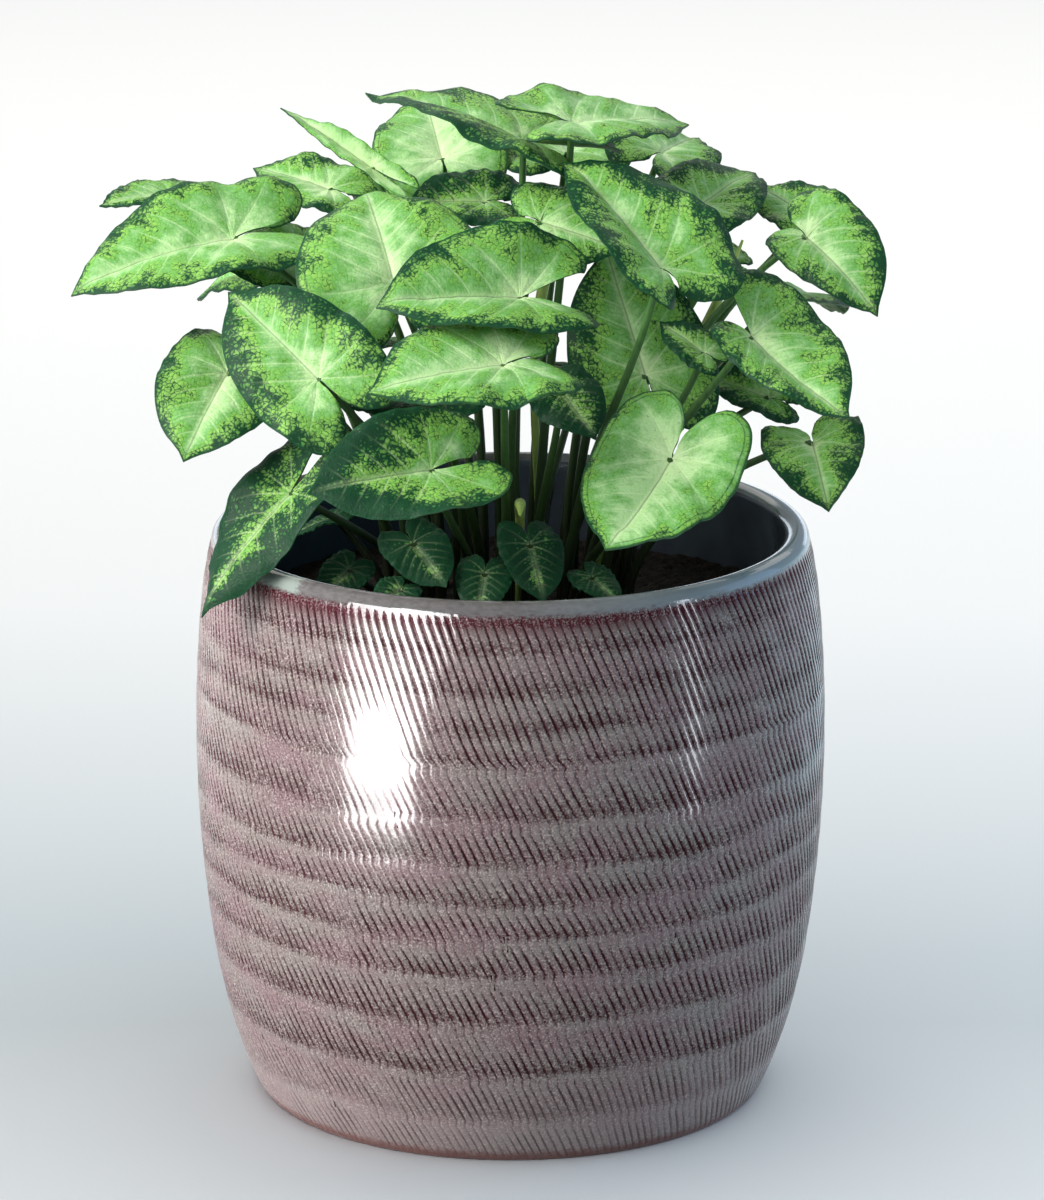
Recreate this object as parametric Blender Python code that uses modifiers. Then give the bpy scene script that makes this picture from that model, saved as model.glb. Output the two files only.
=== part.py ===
"""Arrowhead plant growing in its glazed stoneware pot.

The pot stands on the origin, +Z is up and -Y faces the viewer. Lengths are in metres, except in
the leaf table, which is in millimetres and degrees because it was measured leaf by leaf.
"""
import math
from collections import namedtuple

import bmesh
import bpy
from mathutils import Matrix, Vector

MM = 0.001
CLEAR = 0.3 * MM

# Pot: a barrel, turned and then combed with leaning flutes
POT_HEIGHT = 184 * MM
POT_RADIUS = 100 * MM
LIP_RADIUS = 94.5 * MM
MOUTH_RADIUS = 86.5 * MM
FLOOR_THICK = 9 * MM
FLUTES = 44
FLUTE_DEPTH = 1.5 * MM
FLUTE_LEAN = math.radians(24)
# from the shoulder down: height as a share of the pot's, radius as a share of the widest
BARREL = ((0.95, 0.958), (0.89, 0.975), (0.78, 0.992), (0.65, 1.0), (0.5, 0.994), (0.36, 0.973),
          (0.23, 0.94), (0.12, 0.892), (0.04, 0.84))
FOOT_RADIUS = 80.5 * MM

# Soil and the holes that the stalks stand in
SOIL_TOP = 156 * MM
HOLE_DEPTH = 9 * MM
HOLE_RADIUS = 2.7 * MM
STALK_FOOT = 8 * MM
CLUMP_RADIUS = 42 * MM
CLUMP_SHARE = 0.38
LOW_LEAF = 200  # mm, as in the leaf table
LOW_SHARE = 0.7
STALK_SPACING = 7.5 * MM
SPREAD_ROUNDS = 60
SOIL_SIDES = 32
HOLE_SIDES = 5

# Stalks and blades; a blade's angles are degrees off the tip, seen from where the stalk meets it
STALK_BASE = 1.7 * MM
STALK_TOP = 1.05 * MM
STALK_POINTS = 6
STALK_RISE = 0.45
STALK_ARRIVAL = 0.38
BLADE_THICK = 0.7 * MM
WAVE_HEIGHT = 1.1 * MM
WAVE_LENGTH = 50 * MM
WAVE_TURNS = 5
LOBE_BEND = 0.6
RING_SHARES = (0.5, 1.0)
SINUS_ANGLE = 166
MARGIN_ANGLES = (0, 6, 18, 36, 62, 92, 122, 148, SINUS_ANGLE)
SMALL_ANGLES = (0, 9, 30, 62, 100, 138, SINUS_ANGLE)
SMALL_LEAF = 34

# One leaf: x, y, z of the place where stalk meets blade (mm), then the midrib's heading
# (0 right, 90 away, 180 left, 270 to the viewer), its pitch (tip up is positive) and its roll,
# the length from stalk to tip (mm), the breadth compared with a plain leaf, the bend of the
# midrib, the fold of the halves (up is positive) and the angle at which the stalk arrives
Leaf = namedtuple("Leaf", "name x y z heading pitch roll length breadth droop fold lean")
LEAVES = (
    Leaf("leaf_far_left", -87, 6, 275, 202, -3, 22, 55, 0.85, 28, 12, 30),
    Leaf("leaf_left_back_small", -108, 46, 281, 212, 3, 12, 26, 0.8, 10, 0, 35),
    Leaf("leaf_left_spike", -44, 28, 293, 150, 28, 35, 38, 0.5, 8, 30, 60),
    Leaf("leaf_back_pale", -22, 56, 290, 100, 24, 10, 42, 1.0, 10, 5, 60),
    Leaf("leaf_top_left", 4, 8, 306, 157, 20, -6, 55, 0.9, 14, 4, 88),
    Leaf("leaf_top_right", 19, 2, 313, 28, 0, -8, 43, 0.95, 14, 4, 88),
    Leaf("leaf_back_right_high", 48, 46, 294, 65, 5, -18, 34, 1.0, 15, 0, 60),
    Leaf("leaf_back_right_low", 60, 16, 284, 52, 16, -22, 32, 1.0, 15, 8, 50),
    Leaf("leaf_centre_right", 46, -44, 277, 137, 40, 8, 50, 1.0, 14, 20, 75),
    Leaf("leaf_right_high", 92, -5, 278, 308, -20, -26, 37, 1.0, 32, 8, 35),
    Leaf("leaf_right_mid", 74, -42, 255, 320, -35, -18, 44, 1.0, -24, 10, 55),
    Leaf("leaf_right_low", 94, -22, 216, 275, -12, -10, 32, 1.0, 30, 12, 15),
    Leaf("leaf_front_heart", 49, -64, 222, 237, -37, 15, 46, 1.0, -30, 4, 60),
    Leaf("leaf_centre", 3, -45, 268, 200, 8, 32, 46, 1.0, 18, 20, 65),
    Leaf("leaf_centre_low", -2, -70, 253, 200, 0, 24, 44, 1.0, 15, 8, 70),
    Leaf("leaf_behind_centre", 9, -10, 284, 330, -8, -40, 30, 1.0, 15, 0, 75),
    Leaf("leaf_pale_big", -36, -22, 267, 110, 48, 14, 46, 1.25, 44, 4, 65),
    Leaf("leaf_left_inner", -66, 20, 266, 215, 6, 40, 28, 1.0, 15, 0, 50),
    Leaf("leaf_front_left", -59, -52, 244, 140, 32, 45, 46, 0.9, 12, 4, 45),
    Leaf("leaf_left_low", -88, -20, 238, 246, -28, 14, 36, 1.1, 20, 4, 30),
    Leaf("leaf_front_centre", -24, -70, 220, 205, 0, 46, 40, 1.0, 18, 12, 60),
    Leaf("leaf_over_rim", -68, -44, 206, 212, -37, 10, 48, 0.72, 24, -8, 35),
    Leaf("leaf_dark_centre", 42, -14, 236, 125, 60, 28, 44, 1.0, 4, 0, 75),
    Leaf("leaf_dark_high", -8, 24, 283, 185, 4, 30, 26, 1.0, 12, 6, 80),
    Leaf("leaf_under_right", 64, -2, 268, 160, 14, 10, 20, 0.7, 10, 0, 60),
    Leaf("leaf_shaded_right", 60, -26, 246, 150, 30, 20, 18, 0.9, 10, 0, 70),
    Leaf("leaf_right_behind", 96, 26, 277, 140, 20, 20, 26, 1.0, 10, 6, 40),
    Leaf("leaf_right_shaded", 66, 34, 262, 170, 20, 20, 22, 1.0, 10, 0, 50),
    Leaf("leaf_right_curled", 82, 12, 222, 165, 20, 30, 24, 1.0, 20, 20, 25),
    Leaf("leaf_dark_front", -22, -36, 236, 190, -2, 20, 28, 1.0, 10, 0, 75),
    Leaf("leaf_under_centre", 16, -36, 236, 300, -24, -20, 22, 1.0, 15, 0, 75),
    Leaf("leaf_back_left_high", -58, 52, 281, 150, 14, 20, 30, 0.9, 15, 6, 50),
    Leaf("leaf_back_left", -72, 70, 252, 142, -12, 14, 44, 1.0, 22, 6, 40),
    Leaf("leaf_back_far", -4, 94, 246, 92, -16, 0, 48, 1.0, 25, 8, 40),
    Leaf("leaf_back_right", 46, 84, 262, 62, -10, -8, 44, 1.0, 20, 6, 45),
    Leaf("leaf_back_low_left", -58, 78, 218, 125, -24, 6, 42, 1.0, 25, 4, 30),
    Leaf("leaf_back_low_right", 74, 62, 226, 42, -20, -6, 38, 1.0, 25, 4, 35),
    Leaf("leaf_back_top", 18, 66, 290, 88, 6, 0, 46, 1.0, 16, 6, 65),
    Leaf("leaf_back_low", 24, 84, 212, 84, -26, 0, 40, 1.0, 25, 6, 30),
    Leaf("leaf_back_high", -30, 92, 272, 108, -8, 4, 40, 1.0, 20, 6, 50),
    Leaf("leaf_back_side_left", -76, 44, 228, 125, -18, 8, 38, 1.0, 20, 4, 35),
    Leaf("leaf_back_side_right", 88, 40, 250, 58, -12, -8, 34, 1.0, 20, 4, 40),
    Leaf("base_leaf_left", -50, -46, 182, 235, -20, 20, 15, 1.0, 15, 0, 50),
    Leaf("base_leaf_front_left", -34, -62, 180, 240, -14, 20, 13, 1.0, 15, 0, 50),
    Leaf("base_leaf_pointed", -30, -52, 192, 305, -26, -20, 20, 1.0, 15, 0, 60),
    Leaf("base_leaf_front", -8, -58, 184, 262, -30, 0, 17, 1.0, 15, 0, 60),
    Leaf("base_leaf_centre", 6, -50, 191, 285, -34, 0, 22, 0.9, 15, 0, 60),
    Leaf("base_leaf_right", 25, -55, 182, 310, -20, -10, 14, 1.0, 15, 0, 50),
    Leaf("base_leaf_back_left", -56, 2, 186, 170, -20, 0, 16, 1.0, 15, 0, 50),
    Leaf("base_leaf_back_right", 34, 46, 186, 50, -20, 0, 18, 1.0, 15, 0, 50),
)

# Young leaves still rolled in a point, each on its own stalk: x, y, z of the point (mm) and lean
Shoot = namedtuple("Shoot", "name x y z lean")
SHOOTS = (
    Shoot("shoot_hooked", 3, -50, 200, -50),
    Shoot("shoot_right", 73, 16, 272, 75),
    Shoot("shoot_high", 24, 8, 297, 60),
)
# swelling of a rolled leaf along its stalk, from the soil to the point (mm)
SHOOT_RADII = (1.7, 1.7, 1.4, 1.3, 1.5, 2.1, 0.4)

GREEN_PALE = (0.30, 0.52, 0.12)
GREEN_DARK = (0.03, 0.13, 0.03)
GREEN_STALK = (0.12, 0.26, 0.07)
GLAZE = (0.17, 0.085, 0.085)
SOIL_BROWN = (0.02, 0.013, 0.009)
DARK_LEAVES = ("leaf_over_rim", "leaf_dark_front", "leaf_under_centre", "leaf_dark_high",
               "leaf_right_curled", "leaf_right_low")


def clear_scene():
    for old in list(bpy.data.objects):
        bpy.data.objects.remove(old, do_unlink=True)


def new_collection(name):
    group = bpy.data.collections.new(name)
    bpy.context.scene.collection.children.link(group)
    return group


def material(name, colour, roughness):
    made = bpy.data.materials.new(name)
    made.use_nodes = True
    shader = made.node_tree.nodes["Principled BSDF"]
    shader.inputs["Base Color"].default_value = (*colour, 1.0)
    shader.inputs["Roughness"].default_value = roughness
    shader.inputs["Metallic"].default_value = 0.0
    return made


def add_object(name, mesh, group, paint=None):
    thing = bpy.data.objects.new(name, mesh)
    group.objects.link(thing)
    if paint:
        mesh.materials.append(paint)
    return thing


def baked(thing, group):
    """The object as its modifiers leave it, as a plain mesh object; the first one is removed"""
    name = thing.name
    place = thing.matrix_world.copy()
    depsgraph = bpy.context.evaluated_depsgraph_get()
    mesh = bpy.data.meshes.new_from_object(thing.evaluated_get(depsgraph))
    bpy.data.objects.remove(thing, do_unlink=True)
    weld = bmesh.new()
    weld.from_mesh(mesh)
    bmesh.ops.remove_doubles(weld, verts=weld.verts, dist=0.01 * MM)
    weld.to_mesh(mesh)
    weld.free()
    solid = bpy.data.objects.new(name, mesh)
    solid.matrix_world = place
    group.objects.link(solid)
    return solid


def turned(name, profile, steps, group):
    """A profile of (radius, height) pairs, inside to outside and then down, turned about Z"""
    cage = bmesh.new()
    ring = [cage.verts.new((radius, 0, height)) for radius, height in profile]
    for first, second in zip(ring, ring[1:]):
        cage.edges.new((first, second))
    mesh = bpy.data.meshes.new(name)
    cage.to_mesh(mesh)
    cage.free()
    thing = add_object(name, mesh, group)
    screw = thing.modifiers.new("turn", "SCREW")
    screw.steps = steps
    screw.render_steps = steps
    screw.use_merge_vertices = True
    screw.merge_threshold = 0.01 * MM
    bpy.context.view_layer.update()
    return baked(thing, group)


# Pot

def inner_wall():
    """The cavity's wall from its floor to the mouth, as (radius, height)"""
    return ((76 * MM, FLOOR_THICK), (86 * MM, 30 * MM), (91 * MM, 80 * MM), (91 * MM, 120 * MM),
            (88 * MM, 160 * MM), (MOUTH_RADIUS, POT_HEIGHT - 2 * MM))


def pot_profile():
    rim = ((MOUTH_RADIUS + 1.5 * MM, POT_HEIGHT), (LIP_RADIUS - 2 * MM, POT_HEIGHT),
           (LIP_RADIUS, POT_HEIGHT - 2.5 * MM))
    barrel = tuple((radius * POT_RADIUS, height * POT_HEIGHT) for height, radius in BARREL)
    base = ((FOOT_RADIUS, 0), (0, 0))
    return ((0, FLOOR_THICK),) + inner_wall() + rim + barrel + base


def on_outer_wall(radius, height):
    rows = [(share * POT_RADIUS, level * POT_HEIGHT) for level, share in BARREL]
    return any(abs(radius - r) < 0.1 * MM and abs(height - z) < 0.1 * MM for r, z in rows)


def comb_flutes(mesh):
    """Lean the columns of the outer wall and press every second one in"""
    columns = 2 * FLUTES
    top = BARREL[0][0] * POT_HEIGHT
    bottom = BARREL[-1][0] * POT_HEIGHT
    for vertex in mesh.vertices:
        radius = math.hypot(vertex.co.x, vertex.co.y)
        height = vertex.co.z
        combed = on_outer_wall(radius, height)
        at_foot = height < 0.1 * MM and radius > FOOT_RADIUS / 2
        if not (combed or at_foot):
            continue
        angle = math.atan2(vertex.co.y, vertex.co.x)
        column = round(angle / math.tau * columns)
        lean = (top - max(height, bottom)) * math.tan(FLUTE_LEAN) / POT_RADIUS
        if combed and column % 2:
            radius -= FLUTE_DEPTH
        vertex.co.x = radius * math.cos(angle + lean)
        vertex.co.y = radius * math.sin(angle + lean)


def build_pot(group):
    pot = turned("pot", pot_profile(), 2 * FLUTES, group)
    comb_flutes(pot.data)
    pot.data.materials.append(material("glazed_stoneware", GLAZE, 0.15))
    pot.data.shade_smooth()
    pot.data.set_sharp_from_angle(angle=math.radians(40))
    return pot


# Stalk places

def root_places():
    """Where each stalk stands in the soil: under its leaf, drawn in and then spread apart"""
    places = []
    for leaf in LEAVES + SHOOTS:
        share = LOW_SHARE if leaf.z < LOW_LEAF else CLUMP_SHARE
        place = Vector((leaf.x, leaf.y)) * MM * share
        if place.length > CLUMP_RADIUS:
            place.length = CLUMP_RADIUS
        places.append(place)
    for _ in range(SPREAD_ROUNDS):
        for i, first in enumerate(places):
            for second in places[i + 1:]:
                apart = second - first
                short = STALK_SPACING - apart.length
                if short > 0:
                    push = apart.normalized() * short * 0.5
                    first -= push
                    second += push
    return places


def stalk_route(leaf, root):
    """Points up the stalk's middle, from under the soil to the blade"""
    end = Vector((leaf.x, leaf.y, leaf.z)) * MM
    foot = Vector((root.x, root.y, SOIL_TOP - STALK_FOOT))
    start = Vector((root.x, root.y, SOIL_TOP))
    out = Vector((end.x - start.x, end.y - start.y, 0))
    out = out.normalized() if out.length > MM else Vector((0, -1, 0))
    lean = math.radians(leaf.lean)
    rise = end.z - start.z
    arrive = out * math.cos(lean) + Vector((0, 0, math.sin(lean)))
    handles = (start, start + Vector((0, 0, rise * STALK_RISE)),
               end - arrive * (end - start).length * STALK_ARRIVAL, end)
    return [foot] + [bezier(handles, step / (STALK_POINTS - 1)) for step in range(STALK_POINTS)]


def bezier(handles, share):
    rest = 1 - share
    weights = (rest ** 3, 3 * rest ** 2 * share, 3 * rest * share ** 2, share ** 3)
    return sum((point * weight for point, weight in zip(handles, weights)), Vector())


def build_stalk(name, route, radii, group, sides_step=0):
    curve = bpy.data.curves.new(name, "CURVE")
    curve.dimensions = "3D"
    curve.bevel_depth = 1.0
    curve.bevel_resolution = sides_step
    curve.use_fill_caps = True
    line = curve.splines.new("POLY")
    line.points.add(len(route) - 1)
    for point, place, radius in zip(line.points, route, radii):
        point.co = (*place, 1)
        point.radius = radius
    thing = bpy.data.objects.new(name, curve)
    group.objects.link(thing)
    return baked(thing, group)


# Blades

def margin_reach(angle):
    """How far the margin is from the stalk, as a share of the length, at degrees off the tip"""
    body = 0.5 + 0.4 * math.exp(-((angle / 42) ** 1.6))
    point = 0.1 * math.exp(-angle / 4)
    lobe = 0.07 * math.exp(-(((angle - 140) / 26) ** 2))
    rounding = 1 - 0.22 * max(0, (angle - 148) / 18) ** 2
    return (body + point + lobe) * rounding


def blade_point(leaf, angle, share):
    """A point of the blade's middle surface in the leaf's own axes: X to the tip, Z up"""
    length = leaf.length * MM
    reach = margin_reach(abs(angle)) * length * share
    turn = math.radians(angle)
    along = reach * math.cos(turn)
    across = reach * math.sin(turn) * leaf.breadth
    bend = math.radians(leaf.droop) * along / length
    if along < 0:
        bend *= LOBE_BEND
    half = bend / 2
    arc = along * (math.sin(half) / half if half else 1)
    x = arc * math.cos(half)
    z = -arc * math.sin(half)
    fold = math.radians(leaf.fold)
    y = across * math.cos(fold)
    lift = abs(across) * math.sin(fold)
    wave = math.sin(WAVE_TURNS * turn + leaf.x)
    lift += WAVE_HEIGHT * length / WAVE_LENGTH * share ** 2 * wave
    return Vector((x + lift * math.sin(bend), y, z + lift * math.cos(bend)))


def leaf_frame(leaf):
    turn = Matrix.Rotation(math.radians(leaf.heading), 4, "Z")
    tip_up = Matrix.Rotation(math.radians(-leaf.pitch), 4, "Y")
    roll = Matrix.Rotation(math.radians(-leaf.roll), 4, "X")
    place = Matrix.Translation(Vector((leaf.x, leaf.y, leaf.z)) * MM)
    return place @ turn @ tip_up @ roll


def blade_mesh(leaf):
    """A fan of triangles from the stalk out to the margin, open at the notch between the lobes"""
    half_angles = SMALL_ANGLES if leaf.length < SMALL_LEAF else MARGIN_ANGLES
    angles = [-angle for angle in reversed(half_angles[1:])] + list(half_angles)
    fan = bmesh.new()
    middle = fan.verts.new((0, 0, 0))
    rings = [[fan.verts.new(blade_point(leaf, angle, share)) for angle in angles]
             for share in RING_SHARES]
    for i in range(len(angles) - 1):
        fan.faces.new((middle, rings[0][i], rings[0][i + 1]))
        left = angles[i] < 0
        for inner, outer in zip(rings, rings[1:]):
            a, b, c, d = inner[i], outer[i], outer[i + 1], inner[i + 1]
            halves = ((a, b, d), (b, c, d)) if left else ((a, b, c), (a, c, d))
            for half in halves:
                fan.faces.new(half)
    fan.transform(leaf_frame(leaf))
    mesh = bpy.data.meshes.new(leaf.name)
    fan.to_mesh(mesh)
    fan.free()
    return mesh


def build_leaf(leaf, root, group, paints):
    shaded = leaf.name in DARK_LEAVES or leaf.name.startswith("base_leaf")
    paint = paints["dark"] if shaded else paints["pale"]
    blade = add_object(leaf.name, blade_mesh(leaf), group)
    skin = blade.modifiers.new("thickness", "SOLIDIFY")
    skin.thickness = BLADE_THICK
    skin.offset = 0
    workshop = new_collection("workshop")
    route = stalk_route(leaf, root)
    radii = [STALK_BASE + (STALK_TOP - STALK_BASE) * step / STALK_POINTS
             for step in range(len(route))]
    stalk = build_stalk(leaf.name + "_stalk", route, radii, workshop)
    union = blade.modifiers.new("grown_together", "BOOLEAN")
    union.operation = "UNION"
    union.operand_type = "COLLECTION"
    union.collection = workshop
    bpy.context.view_layer.update()
    solid = baked(blade, group)
    solid.name = leaf.name
    solid.data.materials.append(paint)
    bpy.data.objects.remove(stalk, do_unlink=True)
    bpy.data.collections.remove(workshop)
    return solid


def build_shoot(shoot, root, group, paint):
    radii = [radius * MM for radius in SHOOT_RADII]
    solid = build_stalk(shoot.name, stalk_route(shoot, root), radii, group, 1)
    solid.data.materials.append(paint)
    return solid


# Soil

def build_soil(group, cutters, roots):
    wall = [(radius - CLEAR, height) for radius, height in inner_wall()[:-1]]
    wall[0] = (wall[0][0], FLOOR_THICK + CLEAR)
    wall[-1] = (wall[-1][0], SOIL_TOP)
    profile = [(0, SOIL_TOP)] + wall[::-1] + [(0, FLOOR_THICK + CLEAR)]
    soil = turned("soil", profile, SOIL_SIDES, group)
    for number, root in enumerate(roots):
        bpy.ops.mesh.primitive_cylinder_add(vertices=HOLE_SIDES, radius=HOLE_RADIUS,
                                            depth=HOLE_DEPTH * 2,
                                            location=(root.x, root.y, SOIL_TOP))
        hole = bpy.context.object
        hole.name = f"hole_{number}"
        hole.hide_render = True
        hole.display_type = "WIRE"
        for owner in hole.users_collection:
            owner.objects.unlink(hole)
        cutters.objects.link(hole)
    cut = soil.modifiers.new("holes", "BOOLEAN")
    cut.operation = "DIFFERENCE"
    cut.operand_type = "COLLECTION"
    cut.collection = cutters
    soil.data.materials.append(material("potting_soil", SOIL_BROWN, 0.95))
    return soil


def main():
    clear_scene()
    plant = new_collection("arrowhead_plant")
    cutters = new_collection("cutters")
    paints = {"pale": material("pale_leaf", GREEN_PALE, 0.45),
              "dark": material("dark_leaf", GREEN_DARK, 0.4),
              "shoot": material("young_shoot", GREEN_STALK, 0.4)}
    roots = root_places()
    build_pot(plant)
    build_soil(plant, cutters, roots)
    for leaf, root in zip(LEAVES, roots):
        build_leaf(leaf, root, plant, paints)
    for shoot, root in zip(SHOOTS, roots[len(LEAVES):]):
        build_shoot(shoot, root, plant, paints["shoot"])


main()
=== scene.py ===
# %% [markdown]
# # An arrowhead plant in a glazed stoneware pot
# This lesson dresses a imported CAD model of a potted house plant. The model gives every piece its
# place and size, and here each piece gets the shape and the finish that the eye sees: a combed and
# glazed pot, crumbly soil, and leaves with veins, mottled margins and round stalks.
# The frame is loaded first, because all sizes follow from it.

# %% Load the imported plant
import math
import random
from collections import namedtuple

import bpy
from mathutils import Matrix, Vector, noise


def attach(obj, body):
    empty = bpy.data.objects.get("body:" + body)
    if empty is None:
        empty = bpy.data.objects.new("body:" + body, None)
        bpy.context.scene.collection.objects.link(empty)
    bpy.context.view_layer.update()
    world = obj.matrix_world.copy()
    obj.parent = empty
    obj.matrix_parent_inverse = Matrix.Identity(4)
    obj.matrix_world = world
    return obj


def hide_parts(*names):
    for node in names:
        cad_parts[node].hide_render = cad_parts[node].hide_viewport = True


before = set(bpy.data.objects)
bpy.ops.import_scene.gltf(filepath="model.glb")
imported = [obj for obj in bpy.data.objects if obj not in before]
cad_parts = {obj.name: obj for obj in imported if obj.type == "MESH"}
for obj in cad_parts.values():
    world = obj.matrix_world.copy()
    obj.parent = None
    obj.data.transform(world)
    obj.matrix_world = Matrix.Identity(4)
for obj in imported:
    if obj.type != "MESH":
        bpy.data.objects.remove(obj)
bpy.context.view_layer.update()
MM = 0.001

# %% [markdown]
# ## Small helpers
# A colour is written as the #rrggbb code that any paint program shows, and Blender wants it as
# linear light, so one function turns it. Another adds a node to a material with its settings and
# its links in one call, which keeps a material as short as a recipe. The rest choose what the
# next operator acts on, because an operator acts on all that is selected.

# %% Helpers
def colour(code):
    """A #rrggbb colour as linear red, green, blue and alpha"""
    shares = [int(code[i:i + 2], 16) / 255 for i in (1, 3, 5)]
    linear = [s / 12.92 if s <= 0.04045 else ((s + 0.055) / 1.055) ** 2.4 for s in shares]
    return (*linear, 1.0)


def node(paint, kind, inputs=(), out=0, **settings):
    """Adds a node and returns the wanted output; inputs come in the order of the node's sockets
    or by socket, each a number, a #rrggbb code or the output of another node"""
    made = paint.node_tree.nodes.new("ShaderNode" + kind)
    for name, value in settings.items():
        setattr(made, name, value)
    for socket, value in inputs.items() if isinstance(inputs, dict) else enumerate(inputs):
        if isinstance(value, bpy.types.NodeSocket):
            paint.node_tree.links.new(value, made.inputs[socket])
        else:
            made.inputs[socket].default_value = colour(value) if isinstance(value, str) else value
    return made.outputs[out]


def new_material(name, **sockets):
    """A material with a Principled shader whose plain sockets are set here"""
    paint = bpy.data.materials.new(name)
    paint.use_nodes = True
    shader = paint.node_tree.nodes["Principled BSDF"]
    for socket, value in sockets.items():
        shader.inputs[socket.replace("_", " ")].default_value = value
    return paint


def plug(paint, **outputs):
    """Links outputs of nodes to sockets of the material's Principled shader"""
    shader = paint.node_tree.nodes["Principled BSDF"]
    for socket, output in outputs.items():
        paint.node_tree.links.new(output, shader.inputs[socket.replace("_", " ")])


def deselect_all():
    bpy.ops.object.select_all(action="DESELECT")


def choose(*pieces):
    """Selects these pieces alone and makes the first one active"""
    deselect_all()
    for piece in pieces:
        piece.select_set(True)
    bpy.context.view_layer.objects.active = pieces[0]


def in_edit_mode(piece, mode="VERT"):
    """Opens a piece in edit mode with nothing selected"""
    choose(piece)
    bpy.ops.object.mode_set(mode="EDIT")
    bpy.ops.mesh.select_mode(type=mode)
    bpy.ops.mesh.select_all(action="DESELECT")


# a Mix node's colour sockets go by number, because it uses their names more than once
FACTOR, FIRST, SECOND, MIXED = 0, 6, 7, 2
BLEND = {"out": MIXED, "data_type": "RGBA"}

# %% [markdown]
# ## The camera
# The photograph was taken from two metres away with a long lens, a little above the plant: the
# mouth of the pot is a flat ellipse and the foot's curve is a bit deeper. Its lens and tilt came
# from fitting the ellipses of lip and foot. A small sideways shift puts the pot left of the middle.

# %% Camera
CAMERA_PLACE = (0, -2.0, 0.723)
CAMERA_TILT = math.radians(90 - 15.75)
FOCAL_PIXELS = 6560
FRAME_WIDTH, FRAME_HEIGHT = 1044, 1200
AXIS_PIXEL = 510.5
SENSOR = 36

bpy.ops.object.camera_add(location=CAMERA_PLACE, rotation=(CAMERA_TILT, 0, 0))
camera = bpy.context.object
camera.data.sensor_width = SENSOR
camera.data.lens = FOCAL_PIXELS * SENSOR / FRAME_HEIGHT
camera.data.shift_x = (FRAME_WIDTH / 2 - AXIS_PIXEL) / FRAME_HEIGHT
bpy.context.scene.camera = camera
bpy.context.scene.view_settings.view_transform = "Standard"
print(f"lens {camera.data.lens:.1f} mm")

# %% [markdown]
# ## The pot's outline
# A thrown pot is a line turned about an axis. The line starts in the middle of the floor inside,
# climbs the inner wall, rolls over the lip and comes down the barrel to the foot. The barrel's
# radius is read from a smooth curve through eleven heights, so any height can be asked for.

# %% Pot sizes
POT_HEIGHT = 184 * MM
POT_RADIUS = 100 * MM
MOUTH_RADIUS = 86.5 * MM
LIP_RADIUS = 94.5 * MM
LIP_LEVEL = 180 * MM
FLOOR_THICK = 9 * MM
FOOT_RADIUS = 80.5 * MM
# height as a share of the pot's, radius as a share of the widest
BARREL = ((0.0, 0.805), (0.04, 0.84), (0.12, 0.892), (0.23, 0.94), (0.36, 0.973), (0.5, 0.994),
          (0.65, 1.0), (0.78, 0.992), (0.89, 0.975), (0.95, 0.958), (0.978, 0.945))
INNER_WALL = ((76, 9), (86, 30), (91, 80), (91, 120), (88, 160), (86.5, 180))  # mm
LIP_RISE = 4 * MM
FOOT_EDGE = ((0.0, 0.8), (0.5, 0.2), (1.2, 0.0))  # mm in from the foot's radius, and mm up
FLOOR_RING = 40 * MM
POLE = 0.5 * MM  # the line starts this near the axis, and a small face closes the gap
WALL_ROWS = 70
LIP_STEPS = 12


def smooth_between(knots, place):
    """The value at a place, from a smooth curve through (place, value) knots"""
    last = len(knots) - 2
    i = max(k for k in range(last + 1) if k == 0 or knots[k][0] <= place)
    (x0, y0), (x1, y1) = knots[i], knots[i + 1]
    before = knots[max(i - 1, 0)]
    after = knots[min(i + 2, last + 1)]
    slope0 = (y1 - before[1]) / (x1 - before[0])
    slope1 = (after[1] - y0) / (after[0] - x0)
    width = x1 - x0
    t = (place - x0) / width
    start = (2 * t ** 3 - 3 * t ** 2 + 1) * y0 + (t ** 3 - 2 * t ** 2 + t) * width * slope0
    end = (3 * t ** 2 - 2 * t ** 3) * y1 + (t ** 3 - t ** 2) * width * slope1
    return start + end


def barrel_radius(height):
    return smooth_between(BARREL, height / POT_HEIGHT) * POT_RADIUS


def pot_outline():
    """Points (radius, height) from the floor inside, over the lip and down to under the foot"""
    inside = [(POLE, FLOOR_THICK), (FLOOR_RING, FLOOR_THICK)]
    inside += [(radius * MM, height * MM) for radius, height in INNER_WALL]
    middle = (MOUTH_RADIUS + LIP_RADIUS) / 2
    half = (LIP_RADIUS - MOUTH_RADIUS) / 2
    lip = []
    for step in range(1, LIP_STEPS):
        turn = math.pi * step / LIP_STEPS
        lip.append((middle - half * math.cos(turn), LIP_LEVEL + LIP_RISE * math.sin(turn)))
    heights = [LIP_LEVEL * (1 - row / WALL_ROWS) for row in range(WALL_ROWS)]
    wall = [(barrel_radius(height), height) for height in heights]
    foot = [(FOOT_RADIUS - inward * MM, level * MM) for inward, level in FOOT_EDGE]
    return inside + lip + wall + foot + [(FLOOR_RING, 0), (POLE, 0)]


print(f"outline of {len(pot_outline())} points")

# %% [markdown]
# ## Throwing the pot
# On the wheel one profile meets every side of the clay. Spin does the same: a plane is merged to
# a single point, the point is extruded along the outline, and the line is spun about Z. The
# spin's first and last line fall together, so doubles are merged before the normals are turned
# out. Each groove needs five columns, which sets the number of steps.

# %% Pot body
GROOVES = 208
COLUMNS_PER_GROOVE = 5
COLUMNS = GROOVES * COLUMNS_PER_GROOVE


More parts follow.
